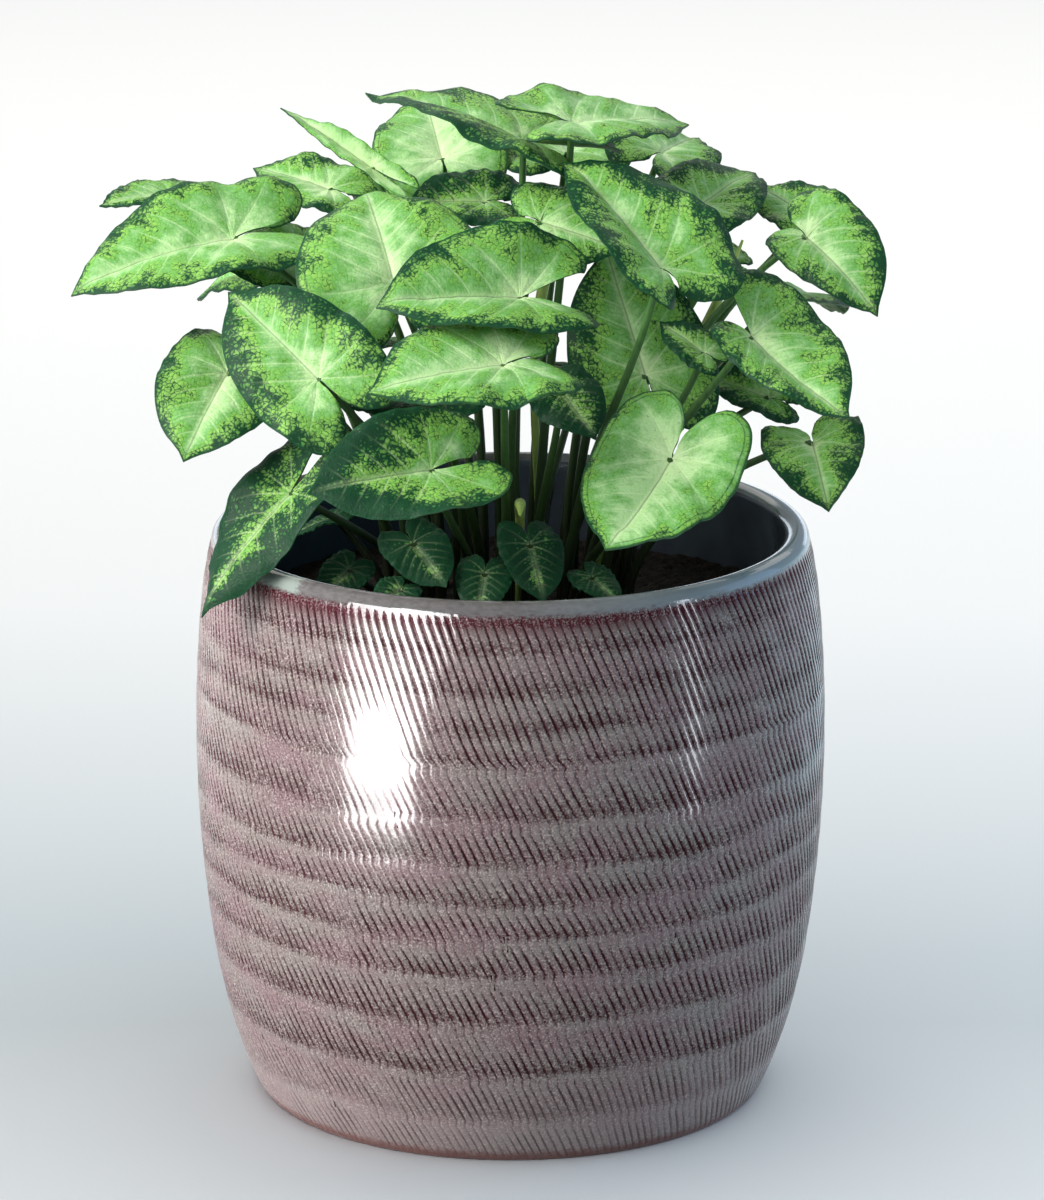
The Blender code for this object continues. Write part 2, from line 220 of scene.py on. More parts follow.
def extruded_line(name, points):
    """An object whose points are extruded one after another from a single one"""
    bpy.ops.mesh.primitive_plane_add(size=MM)
    line = bpy.context.object
    line.name = name
    in_edit_mode(line)
    bpy.ops.mesh.select_all(action="SELECT")
    bpy.ops.mesh.merge(type="CENTER")
    bpy.ops.transform.translate(value=points[0])
    for first, second in zip(points, points[1:]):
        step = Vector(second) - Vector(first)
        bpy.ops.mesh.extrude_region_move(TRANSFORM_OT_translate={"value": step})
    return line


deselect_all()
pot = extruded_line("combed_pot", [(radius, 0, height) for radius, height in pot_outline()])
bpy.ops.mesh.select_all(action="SELECT")
bpy.ops.mesh.spin(steps=COLUMNS, angle=math.tau, center=(0, 0, 0), axis=(0, 0, 1))
bpy.ops.mesh.select_all(action="SELECT")
bpy.ops.mesh.remove_doubles(threshold=0.01 * MM)
bpy.ops.mesh.select_all(action="DESELECT")
bpy.ops.mesh.select_mode(type="EDGE")
bpy.ops.mesh.select_non_manifold(extend=False, use_wire=False, use_multi_face=False,
                                 use_non_contiguous=False, use_verts=False)
bpy.ops.mesh.edge_face_add()
bpy.ops.mesh.select_all(action="SELECT")
bpy.ops.mesh.normals_make_consistent(inside=False)
bpy.ops.object.mode_set(mode="OBJECT")
print(f"pot of {len(pot.data.polygons)} faces")

# %% [markdown]
# ## Ledges and combed grooves
# The thrower's fingers left a dozen low ledges, and a springing blade then chattered over the
# turning wall and cut about two hundred slanting grooves, 3 mm apart. The blade jumps a little
# at each ledge, so a groove isn't one line. No operator cuts such a comb, so the points of
# the wall are moved by a formula: the columns lean with the grooves and every fifth column is
# pressed in. In one spot on the left the blade hardly touched, and the wall stayed smooth. The
# depth is kept on the points, because the glaze will need it.

# %% Comb the wall
COMB_TOP = 180 * MM
COMB_LEAN = math.radians(22)
GROOVE_PRESS = (1.0, 0.15, 0.0, 0.0, 0.05)  # how deep each of a groove's five columns goes
GROOVE_DEPTH = 0.42 * MM
LEDGES = (180, 168, 155, 144, 133, 115, 101, 89, 77, 64, 48, 31, 14, 0)  # mm above the table
LEDGE_DEPTH = 0.3 * MM
LEDGE_WOBBLE = 2.5  # mm
LEDGE_END = 0.22  # the share of a band in which its ledge steps back
LEDGE_CURVE = 2.5  # a band swells mostly near its lower end
JUMP = 0.5  # of a groove's width, at each ledge of the lower wall
JUMP_TOP = 136 * MM
WANDER = 0.3  # of a groove's width
FIRM, FIRM_CHANGE = 0.85, 0.9  # the mean press of the blade, and how much it changes
LIGHT_SPOT = Vector((-41 * MM, -91 * MM, 136 * MM))  # the blade was held lightly here
LIGHT_REACH = 21 * MM
# of three noises: how many times finer than the pot round the wall, and the size up the wall
LEDGE_NOISE = (2, 15 * MM)
WANDER_NOISE = (5, 22 * MM)
FIRM_NOISE = (14, 9 * MM)


def clamp(value):
    return min(1, max(0, value))


def wall_noise(height, angle, sizes):
    finer, rise = sizes
    spot = Vector((math.cos(angle) * finer, math.sin(angle) * finer, height / rise))
    return noise.noise(spot)


def ledge_share(height, angle):
    """0 just under a ledge, growing to 1 at the next ledge below"""
    level = height / MM + LEDGE_WOBBLE * wall_noise(height, angle, LEDGE_NOISE)
    for upper, lower in zip(LEDGES, LEDGES[1:]):
        if level > lower:
            return clamp((upper - level) / (upper - lower))
    return 1


def comb_turn(height, angle):
    """How far round the wall a groove has moved at this height"""
    fall = max(0, COMB_TOP - height)
    lean = fall * math.tan(COMB_LEAN) / POT_RADIUS
    pitch = math.tau / GROOVES
    jump = JUMP * pitch * ledge_share(height, angle) if height < JUMP_TOP else 0
    wander = WANDER * pitch * wall_noise(height, angle, WANDER_NOISE)
    return lean + jump + wander * min(1, fall / (10 * MM))


def press_depth(column, height, angle):
    """How deep the comb went here, as a share of its full depth"""
    firm = FIRM + FIRM_CHANGE * wall_noise(height, angle, FIRM_NOISE)
    if height < JUMP_TOP:
        firm *= math.sin(math.pi * ledge_share(height, angle)) ** 0.7
    turn = angle + comb_turn(height, angle)
    place = Vector((math.cos(turn) * POT_RADIUS, math.sin(turn) * POT_RADIUS, height))
    away = place - LIGHT_SPOT
    away.z *= 0.6  # the spot is taller than wide
    firm *= 1 - math.exp(-((away.length / LIGHT_REACH) ** 4))
    fade = clamp((COMB_TOP - height) / (3 * MM)) * min(1, height / (5 * MM))
    return GROOVE_PRESS[column % COLUMNS_PER_GROOVE] * firm * fade


def comb(pot):
    grooves = []
    ledges = []
    for vertex in pot.data.vertices:
        radius = math.hypot(vertex.co.x, vertex.co.y)
        height = vertex.co.z
        angle = math.atan2(vertex.co.y, vertex.co.x)
        outside = height < COMB_TOP and abs(radius - barrel_radius(height)) < 0.05 * MM
        groove = ledge = 0
        if outside:
            column = round(angle / math.tau * COLUMNS)
            groove = press_depth(column, height, angle)
            share = ledge_share(height, angle)
            ledge = share ** LEDGE_CURVE * min(1, (1 - share) / LEDGE_END)
            radius -= groove * GROOVE_DEPTH + ledge * LEDGE_DEPTH * min(1, height / (9 * MM))
        if outside or height < MM:
            angle += comb_turn(max(height, 0), angle)
            vertex.co.x = radius * math.cos(angle)
            vertex.co.y = radius * math.sin(angle)
        grooves.append(groove)
        ledges.append(ledge)
    for name, values in (("groove", grooves), ("ledge", ledges)):
        pot.data.attributes.new(name, "FLOAT", "POINT").data.foreach_set("value", values)
    return max(grooves)


print(f"deepest groove {comb(pot) * GROOVE_DEPTH / MM:.2f} mm")

# %% [markdown]
# ## The glaze
# The pot is stoneware under an iron-bearing glossy glaze. Such a glaze is thick and dark wine red
# where it pools in the grooves, thin and taupe where it breaks over the ridges, and pale grey over
# the smooth lip. Small dark red specks are iron burning through. A glossy glaze is glass: index
# 1.5 and a low roughness, slightly broken by the fine orange-peel of the surface.

# %% Glaze outside
SPECK = 0.6 * MM
MOTTLE = 2.2 * MM
CLOUD = 26 * MM
PEEL = 1.6 * MM

glaze = new_material("iron_glaze_on_stoneware", IOR=1.5)
where = node(glaze, "TexCoord", out="Object")
aside, height = [node(glaze, "SeparateXYZ", [where], out=axis) for axis in "XZ"]
groove, ledge = [node(glaze, "Attribute", out="Fac", attribute_name=name)
                 for name in ("groove", "ledge")]
# the mottle and the clouds are drawn out sideways, because the wheel was turning
sideways = node(glaze, "Mapping", {"Vector": where, "Scale": (1, 1, 2.4)})
specks, mottle, clouds, peel = [
    node(glaze, "TexNoise", {"Vector": place, "Scale": 1 / size, "Detail": detail}, out="Fac")
    for place, size, detail in ((where, SPECK, 1.0), (sideways, MOTTLE, 2.0),
                                (sideways, CLOUD, 3.0), (where, PEEL, 2.0))]
# thin glaze is mauve or taupe, in wide clouds, with light specks
wide = node(glaze, "MapRange", (clouds, 0.38, 0.62))
body = node(glaze, "Mix", {FACTOR: wide, FIRST: "#7b6567", SECOND: "#7e7470"}, **BLEND)
light = node(glaze, "MapRange", (specks, 0.55, 0.72))
# where the glaze has pooled: in the grooves, above the ledges, and in specks
pooling = node(glaze, "MapRange", (clouds, 0.3, 0.7, 0.5, 1.4))
pooled = node(glaze, "Math", (groove, 0.95), operation="MULTIPLY")
for source, share in ((ledge, pooling), (specks, -1.6), (mottle, -0.9)):
    pooled = node(glaze, "Math", (source, share, pooled), operation="MULTIPLY_ADD")
pooled = node(glaze, "MapRange", (pooled, -1.15, -0.3))
# the smooth lip above a ragged line, and a row of red dots where the grooves begin below it
ragged = node(glaze, "Math", (mottle, 0.003, height), operation="MULTIPLY_ADD")
on_lip = node(glaze, "MapRange", (ragged, 0.1808, 0.1824))
below_lip = node(glaze, "MapRange", (ragged, 0.175, 0.179))
dots = node(glaze, "MapRange", (specks, 0.35, 0.5))
red = node(glaze, "Math", (below_lip, dots), operation="MULTIPLY")
# the lip is mottled grey, with a painted cool reflection that turns it blue-grey on the right
lip_tint = node(glaze, "Mix", {FACTOR: mottle, FIRST: "#4b4747", SECOND: "#75716f"}, **BLEND)
# painted reflection: the lip turns blue-grey towards the right side
cool = node(glaze, "MapRange", (aside, 0.0, 0.08))
lip_tint = node(glaze, "Mix", {FACTOR: cool, FIRST: lip_tint, SECOND: "#858f92"}, **BLEND)
# at one place the glaze ran thin over the lip and left it pale
from_bald = node(glaze, "VectorMath", (where, (-0.072, -0.062, 0.18)), out="Value",
                 operation="DISTANCE")
from_bald = node(glaze, "Math", (mottle, 0.008, from_bald), operation="MULTIPLY_ADD")
bald = node(glaze, "MapRange", (from_bald, 0.0145, 0.0125, 0, 0.8))
bald = node(glaze, "Math", (bald, on_lip), operation="MULTIPLY")
# painted light makes the glaze paler towards the foot, as if lit from the table, and bare clay
# shows as an orange line at the very foot
# painted light: paler over the lowest 35 mm, standing in for light thrown up from the table
painted_light_from_table = node(glaze, "MapRange", (height, 0.035, 0.0, 0, 0.5))
at_foot = node(glaze, "MapRange", (ragged, 0.006, 0.0035, 0, 0.8))
for mask, tint in ((light, "#a39790"), (pooled, "#3a191e"), (red, "#43121b"), (on_lip, lip_tint),
                   (bald, "#8d988f"), (painted_light_from_table, "#ab9c98"), (at_foot, "#6b4038")):
    body = node(glaze, "Mix", {FACTOR: mask, FIRST: body, SECOND: tint}, **BLEND)
# mirror-like on the ridges, dull where it has crystallised in the grooves
dull = node(glaze, "MapRange", (groove, 0.0, 0.04, 0.09, 0.6))
shine = node(glaze, "MapRange", (groove, 0.0, 0.04, 0.5, 0.05))
bumps = node(glaze, "Bump", {"Strength": 0.5, "Distance": 0.06 * MM, "Height": peel}, out="Normal")
plug(glaze, Base_Color=body, Roughness=dull, Specular_IOR_Level=shine, Normal=bumps)
print(glaze.name)

# %% Glaze inside
inner_glaze = new_material("dark_glaze_inside", IOR=1.5, Roughness=0.25)
where = node(inner_glaze, "TexCoord", out="Object")
clouds = node(inner_glaze, "TexNoise", {"Vector": where, "Scale": 1 / CLOUD, "Detail": 4.0},
              out="Fac")
inside = node(inner_glaze, "Mix", {FACTOR: clouds, FIRST: "#272c35", SECOND: "#525c66"}, **BLEND)
bumps = node(inner_glaze, "Bump", {"Strength": 0.4, "Distance": 0.2 * MM, "Height": clouds},
             out="Normal")
plug(inner_glaze, Base_Color=inside, Normal=bumps)


# a groove's edge is sharper than this, so that ridges mirror a light as flat strips
RIDGE_ANGLE = math.radians(17)
LIP_EDGE = 0.6 * MM  # the lip's own glaze begins this far out from the mouth
THIN_WALL = 3 * MM  # nearer than this to the barrel, a face is on the outside


def is_inside(face):
    level = face.center.z
    radius = math.hypot(face.center.x, face.center.y)
    if level > LIP_LEVEL:
        return radius < MOUTH_RADIUS + LIP_EDGE
    return level > FLOOR_THICK - MM and radius < barrel_radius(level) - THIN_WALL


pot.data.materials.append(glaze)
pot.data.materials.append(inner_glaze)
for face in pot.data.polygons:
    face.material_index = int(is_inside(face))
choose(pot)
bpy.ops.object.shade_smooth_by_angle(angle=RIDGE_ANGLE)
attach(pot, "root")
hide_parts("pot")
print(f"{sum(face.material_index for face in pot.data.polygons)} faces inside")

# %% [markdown]
# ## The leaf table
# Every leaf of the CAD model is a row of this table, so the visible leaves land on the solid
# ones. A row gives the place where stalk meets blade in millimetres, the way the midrib points in
# degrees, the length and breadth, how the blade droops and folds, how its stalk leans, and how
# dark a green it has; for the leaves deep in the clump and down by the soil that dark green is
# partly painted shade. The stalks' feet are worked out by the same rule as in the model: each
# stands under its leaf, drawn in to the clump and then pushed clear of the others.

# %% Leaf table
Leaf = namedtuple("Leaf", "name x y z heading pitch roll length breadth droop fold lean tone")
LEAVES = tuple(Leaf(*row) for row in (
    ("leaf_far_left", -87, 6, 275, 202, -3, 22, 55, 0.85, 28, 12, 30, 0.15),
    ("leaf_left_back_small", -108, 46, 281, 212, 3, 12, 26, 0.8, 10, 0, 35, 0.5),
    ("leaf_left_spike", -44, 28, 293, 150, 28, 35, 38, 0.5, 8, 30, 60, -0.4),
    ("leaf_back_pale", -22, 56, 290, 100, 24, 10, 42, 1.0, 10, 5, 60, -0.15),
    ("leaf_top_left", 4, 8, 306, 157, 20, -6, 55, 0.9, 14, 4, 88, 0.62),
    ("leaf_top_right", 19, 2, 313, 28, 0, -8, 43, 0.95, 14, 4, 88, 0.05),
    ("leaf_back_right_high", 48, 46, 294, 65, 5, -18, 34, 1.0, 15, 0, 60, 0.5),
    ("leaf_back_right_low", 60, 16, 284, 52, 16, -22, 32, 1.0, 15, 8, 50, 0.7),
    ("leaf_centre_right", 46, -44, 277, 137, 40, 8, 50, 1.0, 14, 20, 75, 0.58),
    ("leaf_right_high", 92, -5, 278, 308, -20, -26, 37, 1.0, 32, 8, 35, 0.35),
    ("leaf_right_mid", 74, -42, 255, 320, -35, -18, 44, 1.0, -24, 10, 55, 0.38),
    ("leaf_right_low", 94, -22, 216, 275, -12, -10, 32, 1.0, 30, 12, 15, 0.6),
    ("leaf_front_heart", 49, -64, 222, 237, -37, 15, 46, 1.0, -30, 4, 60, -0.25),
    ("leaf_centre", 3, -45, 268, 200, 8, 32, 46, 1.0, 18, 20, 65, 0.3),
    ("leaf_centre_low", -2, -70, 253, 200, 0, 24, 44, 1.0, 15, 8, 70, 0.1),
    ("leaf_behind_centre", 9, -10, 284, 330, -8, -40, 30, 1.0, 15, 0, 75, 0.55),
    ("leaf_pale_big", -36, -22, 267, 110, 48, 14, 46, 1.25, 44, 4, 65, 0.12),
    ("leaf_left_inner", -66, 20, 266, 215, 6, 40, 28, 1.0, 15, 0, 50, 0.2),
    ("leaf_front_left", -59, -52, 244, 140, 32, 45, 46, 0.9, 12, 4, 45, 0.48),
    ("leaf_left_low", -88, -20, 238, 246, -28, 14, 36, 1.1, 20, 4, 30, 0.3),
    ("leaf_front_centre", -24, -70, 220, 205, 0, 46, 40, 1.0, 18, 12, 60, 0.7),
    ("leaf_over_rim", -68, -44, 206, 212, -37, 10, 48, 0.72, 24, -8, 35, 1.25),
    ("leaf_dark_centre", 42, -14, 236, 125, 60, 28, 44, 1.0, 4, 0, 75, 0.42),
    ("leaf_dark_high", -8, 24, 283, 185, 4, 30, 26, 1.0, 12, 6, 80, 1.1),
    ("leaf_under_right", 64, -2, 268, 160, 14, 10, 20, 0.7, 10, 0, 60, 0.2),
    ("leaf_shaded_right", 60, -26, 246, 150, 30, 20, 18, 0.9, 10, 0, 70, 0.9),
    ("leaf_right_behind", 96, 26, 277, 140, 20, 20, 26, 1.0, 10, 6, 40, 0.3),
    ("leaf_right_shaded", 66, 34, 262, 170, 20, 20, 22, 1.0, 10, 0, 50, 0.35),
    ("leaf_right_curled", 82, 12, 222, 165, 20, 30, 24, 1.0, 20, 20, 25, 0.85),
    # these two lie deep in the clump: part of their high tone is painted shade
    ("leaf_dark_front", -22, -36, 236, 190, -2, 20, 28, 1.0, 10, 0, 75, 1.4),
    ("leaf_under_centre", 16, -36, 236, 300, -24, -20, 22, 1.0, 15, 0, 75, 1.5),
    ("leaf_back_left_high", -58, 52, 281, 150, 14, 20, 30, 0.9, 15, 6, 50, 0.35),
    ("leaf_back_left", -72, 70, 252, 142, -12, 14, 44, 1.0, 22, 6, 40, 0.35),
    ("leaf_back_far", -4, 94, 246, 92, -16, 0, 48, 1.0, 25, 8, 40, 0.35),
    ("leaf_back_right", 46, 84, 262, 62, -10, -8, 44, 1.0, 20, 6, 45, 0.35),
    ("leaf_back_low_left", -58, 78, 218, 125, -24, 6, 42, 1.0, 25, 4, 30, 0.35),
    ("leaf_back_low_right", 74, 62, 226, 42, -20, -6, 38, 1.0, 25, 4, 35, 0.35),
    ("leaf_back_top", 18, 66, 290, 88, 6, 0, 46, 1.0, 16, 6, 65, 0.35),
    ("leaf_back_low", 24, 84, 212, 84, -26, 0, 40, 1.0, 25, 6, 30, 0.35),
    ("leaf_back_high", -30, 92, 272, 108, -8, 4, 40, 1.0, 20, 6, 50, 0.35),
    ("leaf_back_side_left", -76, 44, 228, 125, -18, 8, 38, 1.0, 20, 4, 35, 0.35),
    ("leaf_back_side_right", 88, 40, 250, 58, -12, -8, 34, 1.0, 20, 4, 40, 0.35),
    # the base leaves lie low in the pot's shade: part of their high tone is painted shade
    ("base_leaf_left", -50, -46, 182, 235, -20, 20, 15, 1.0, 15, 0, 50, 2.0),
    ("base_leaf_front_left", -34, -62, 180, 240, -14, 20, 13, 1.0, 15, 0, 50, 2.0),
    ("base_leaf_pointed", -30, -52, 192, 305, -26, -20, 20, 1.0, 15, 0, 60, 2.0),
    ("base_leaf_front", -8, -58, 184, 262, -30, 0, 17, 1.0, 15, 0, 60, 2.0),
    ("base_leaf_centre", 6, -50, 191, 285, -34, 0, 22, 0.9, 15, 0, 60, 2.0),
    ("base_leaf_right", 25, -55, 182, 310, -20, -10, 14, 1.0, 15, 0, 50, 2.0),
    ("base_leaf_back_left", -56, 2, 186, 170, -20, 0, 16, 1.0, 15, 0, 50, 2.0),
    ("base_leaf_back_right", 34, 46, 186, 50, -20, 0, 18, 1.0, 15, 0, 50, 2.0),
))
Shoot = namedtuple("Shoot", "name x y z lean")
SHOOTS = (
    Shoot("shoot_hooked", 3, -50, 200, -50),
    Shoot("shoot_right", 73, 16, 272, 75),
    Shoot("shoot_high", 24, 8, 297, 60),
)
SHOOT_RADII = (1.7, 1.7, 1.4, 1.3, 1.5, 2.1, 0.4)  # mm, from the soil to the point
SOIL_TOP = 156 * MM
STALK_FOOT = 8 * MM
CLUMP_RADIUS = 42 * MM
CLUMP_SHARE = 0.38
LOW_LEAF = 200  # mm, as in the leaf table
LOW_SHARE = 0.7
STALK_SPACING = 7.5 * MM
SPREAD_ROUNDS = 60


def root_places():
    places = []
    for leaf in LEAVES + SHOOTS:
        share = LOW_SHARE if leaf.z < LOW_LEAF else CLUMP_SHARE
        place = Vector((leaf.x, leaf.y)) * MM * share
        if place.length > CLUMP_RADIUS:
            place.length = CLUMP_RADIUS
        places.append(place)
    for _ in range(SPREAD_ROUNDS):
        for i, first in enumerate(places):
            for second in places[i + 1:]:
                apart = second - first
                short = STALK_SPACING - apart.length
                if short > 0:
                    push = apart.normalized() * short * 0.5
                    first -= push
                    second += push
    return places


roots = root_places()
print(f"{len(LEAVES)} leaves and {len(SHOOTS)} shoots")

# %% [markdown]
# ## The soil
# Potting soil is dark crumbs of peat and bark. A fine grid is rounded to a disc, because a grid's
# points lie evenly everywhere, and then lowered and raised by noise at two sizes. Its border is
# extruded down the inside of the pot and closed. The crumbs that lie loose on top are one small
# icosphere, copied with a turn and a stretch of its own each time, from a seeded draw.

# %% Soil
SOIL_GRID = 100
SOIL_CLEAR = 0.3 * MM
SOIL_WALL = ((91, 120), (91, 80), (86, 30), (76, 9.3))  # mm, going down
SOIL_RADIUS = 88 * MM
SOIL_RELIEF = ((16, 1.6), (4, 1.1), (1.8, 0.6))  # mm: size and height of hills, lumps, crumbs
SOIL_DIP = 0.6 * MM
CRUMBS = 420
CRUMB_SPREAD = 0.97  # of the soil's radius
CRUMB_SIZES = (0.7, 2.4)  # mm
draw = random.Random(7)


def soil_level(x, y):
    spot = Vector((x, y, 0))
    level = SOIL_TOP - SOIL_DIP
    for size, rise in SOIL_RELIEF:
        level += noise.noise(spot / (size * MM)) * rise * MM
    return level


def soil_body():
    bpy.ops.mesh.primitive_grid_add(x_subdivisions=SOIL_GRID, y_subdivisions=SOIL_GRID, size=2)
    soil = bpy.context.object
    soil.name = "crumbly_soil"
    reach = SOIL_RADIUS - SOIL_CLEAR
    for vertex in soil.data.vertices:
        x, y, _ = vertex.co
        vertex.co = (x * math.sqrt(1 - y * y / 2) * reach, y * math.sqrt(1 - x * x / 2) * reach, 0)
        vertex.co.z = soil_level(vertex.co.x, vertex.co.y)
    in_edit_mode(soil, "EDGE")
    bpy.ops.mesh.select_non_manifold(extend=False)
    last = SOIL_RADIUS / MM
    level = SOIL_TOP / MM
    for radius, depth in SOIL_WALL:
        bpy.ops.mesh.extrude_region_move(
            TRANSFORM_OT_translate={"value": (0, 0, (depth - level) * MM)})
        grow = radius / last
        bpy.ops.transform.resize(value=(grow, grow, 1), center_override=(0, 0, 0))
        last, level = radius, depth
    bpy.ops.mesh.edge_face_add()
    bpy.ops.mesh.select_all(action="SELECT")
    bpy.ops.mesh.normals_make_consistent(inside=False)
    bpy.ops.object.mode_set(mode="OBJECT")
    return soil


def crumb_copies(count):
    bpy.ops.mesh.primitive_ico_sphere_add(subdivisions=1, radius=MM)
    pattern = bpy.context.object
    copies = []
    for _ in range(count):
        reach = SOIL_RADIUS * CRUMB_SPREAD * math.sqrt(draw.random())
        turn = draw.uniform(0, math.tau)
        x, y = reach * math.cos(turn), reach * math.sin(turn)
        size = CRUMB_SIZES[0] + (CRUMB_SIZES[1] - CRUMB_SIZES[0]) * draw.random() ** 3
        broad, tall = size * draw.uniform(0.6, 1), size * draw.uniform(0.4, 0.8)
        stretch = Matrix.Diagonal((size, broad, tall, 1))
        spin = Matrix.Rotation(draw.uniform(0, math.tau), 4, "Z")
        tilt = Matrix.Rotation(draw.uniform(-0.6, 0.6), 4, "X")
        crumb = bpy.data.objects.new("crumb", pattern.data.copy())
        crumb.data.transform(Matrix.Translation((x, y, soil_level(x, y))) @ spin @ tilt @ stretch)
        bpy.context.scene.collection.objects.link(crumb)
        copies.append(crumb)
    bpy.data.objects.remove(pattern, do_unlink=True)
    return copies


deselect_all()
soil = soil_body()
choose(soil, *crumb_copies(CRUMBS))
bpy.ops.object.join()
print(f"soil of {len(soil.data.polygons)} faces")

# %% Soil finish
BIT = 2.2 * MM
FINE_BIT = 0.7 * MM
peat = new_material("damp_potting_soil", Roughness=0.9, IOR=1.4)
where = node(peat, "TexCoord", out="Object")
bits = node(peat, "TexVoronoi", {"Vector": where, "Scale": 1 / BIT}, out="Color")
shade = node(peat, "SeparateColor", [bits], out="Red")
fine = node(peat, "TexNoise", {"Vector": where, "Scale": 1 / FINE_BIT, "Detail": 4.0}, out="Fac")
shade = node(peat, "Math", (shade, fine), operation="MULTIPLY")
brown = node(peat, "Mix", {FACTOR: shade, FIRST: "#0c0908", SECOND: "#2c1f17"}, **BLEND)
bumps = node(peat, "Bump", {"Strength": 1.0, "Distance": 0.5 * MM, "Height": fine}, out="Normal")
plug(peat, Base_Color=brown, Normal=bumps)
soil.data.materials.append(peat)
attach(soil, "root")
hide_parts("soil")
print(peat.name)

# %% [markdown]
# ## The shape of a blade
# An arrowhead leaf is a heart with a short drawn-out tip. The stalk meets it at the notch, so its
# margin is easiest to say in turns about that point: how far is it to the edge, at so many
# degrees off the tip? The blade then bends along the midrib, folds a little up from it, waves at
# its edge, and sinks along each vein.
# Between midrib and margin each half is crowned, and at the margin it rolls down a little.
# Side veins leave the midrib slanting forward, and in the lobes they fan out from the stalk. One
# running number counts them, whole on each vein, so a material can draw them as fine lines.

# %% Blade formulas
WAVE_HEIGHT = 1.1 * MM  # at the margin of a leaf of this length
WAVE_LENGTH = 50 * MM
WAVE_TURNS = 5
LOBE_BEND = 0.6  # of the bend of the rest
NOTCH_AT_STALK = 164  # degrees off the tip, where the lobes part
NOTCH_AT_MARGIN = 176
NOTCH_SHARE = 0.5  # of the way to the margin, where the notch is as narrow as there
VEIN_SLANT = 0.65
VEIN_ARCH = 0.5
VEIN_STEP = 0.17  # of the length, along the midrib
VEIN_CLOSE = 0.8  # a vein's slant brings it this much nearer to the next
LOBE_VEIN_STEP = 41  # degrees
LOBE_VEIN_ARCH = 15  # degrees over the leaf's length
VEIN_SINK = 0.4 * MM
VEIN_WIDTH = 1.6 * MM
MIDRIB_SINK = 0.7 * MM
MIDRIB_WIDTH = 1.4 * MM
CROWN = 1.3 * MM
CROWN_START = 4 * MM  # off the midrib
ROLL = 1.2 * MM
ROLL_START = 0.8  # of the way to the margin
UNEVEN = 1.8 * MM
LUMP = 11 * MM
RIPPLE = 0.5 * MM
EVEN = (1.0, 1.0)
# how far the two lobes reach back, left and right, on leaves that aren't even
LOBE_SHARES = {"leaf_right_mid": (1.0, 0.45), "leaf_right_high": (1.0, 0.5),
               "leaf_centre_right": (0.65, 0.8)}
# how wide the two halves are, left and right of the midrib, on leaves that aren't even
HALVES = {"leaf_left_spike": (0.55, 0.4), "leaf_right_mid": (1.0, 0.62),
          "leaf_centre_right": (0.78, 1.0), "leaf_right_high": (1.0, 0.7)}
# millimetres by which a left or right lobe turns up
LOBE_LIFTS = {"leaf_top_left": (0.0, 8.0), "leaf_top_right": (4.0, 0.0),
              "leaf_left_spike": (0.0, 4.0), "leaf_front_centre": (8.0, 0.0),
              "leaf_over_rim": (6.0, 6.0), "leaf_far_left": (0.0, 3.0), "leaf_centre": (0.0, 3.0)}
# leaves whose lobes stand further apart
OPEN_NOTCHES = {"leaf_centre": 160, "leaf_left_spike": 165, "leaf_over_rim": 166,
                "leaf_right_mid": 166, "leaf_front_centre": 168}


def margin_reach(angle):
    """How far the margin is from the stalk, as a share of the length, at degrees off the tip"""
    body = 0.5 + 0.4 * math.exp(-((angle / 42) ** 1.6))
    point = 0.1 * math.exp(-angle / 4)
    lobe = 0.07 * math.exp(-(((angle - 140) / 26) ** 2))
    rounding = 1 - 0.22 * max(0, (angle - 148) / 18) ** 2
    return (body + point + lobe) * rounding


def vein_number(along, across):
    """Runs through whole numbers at the side veins; along and across are shares of the length"""
    side = abs(across)
    start = along - VEIN_SLANT * side - VEIN_ARCH * side * side
    if start > 0:
        return start / VEIN_STEP
    turn = math.degrees(math.atan2(side, along))
    first = math.degrees(math.atan2(1, VEIN_SLANT)) - LOBE_VEIN_ARCH * math.hypot(along, side)
    return (first - turn) / LOBE_VEIN_STEP


def vein_gap(along, across, length):
    """Metres between two side veins here"""
    if along > VEIN_SLANT * abs(across):
        return VEIN_CLOSE * VEIN_STEP * length
    return math.radians(LOBE_VEIN_STEP) * math.hypot(along, across) * length


def sink(distance, width):
    return math.exp(-((distance / width) ** 2))


def blade_relief(leaf, along, across, share):
    """How far the blade stands above its plain bent surface"""
    length = leaf.length * MM
    number = vein_number(along, across)
    off_vein = abs(number - round(number)) * vein_gap(along, across, length)
    fade = 1 - share ** 3
    relief = -VEIN_SINK * sink(off_vein, VEIN_WIDTH) * fade
    if along > 0:
        relief -= MIDRIB_SINK * sink(across * length, MIDRIB_WIDTH) * fade
    size = length / WAVE_LENGTH
    off_midrib = 1 - sink(across * length, CROWN_START) if along > 0 else 1
    relief += CROWN * size * 4 * share * (1 - share) * off_midrib
    relief -= ROLL * size * max(0, (share - ROLL_START) / (1 - ROLL_START)) ** 2
    spot = Vector((along * length / LUMP, across * length / LUMP, leaf.x + leaf.z))
    relief += noise.noise(spot) * UNEVEN * share
    ripple = math.sin(along * 34 + leaf.y) * math.sin(across * 29 + leaf.z)
    return relief + RIPPLE * ripple * share ** 4


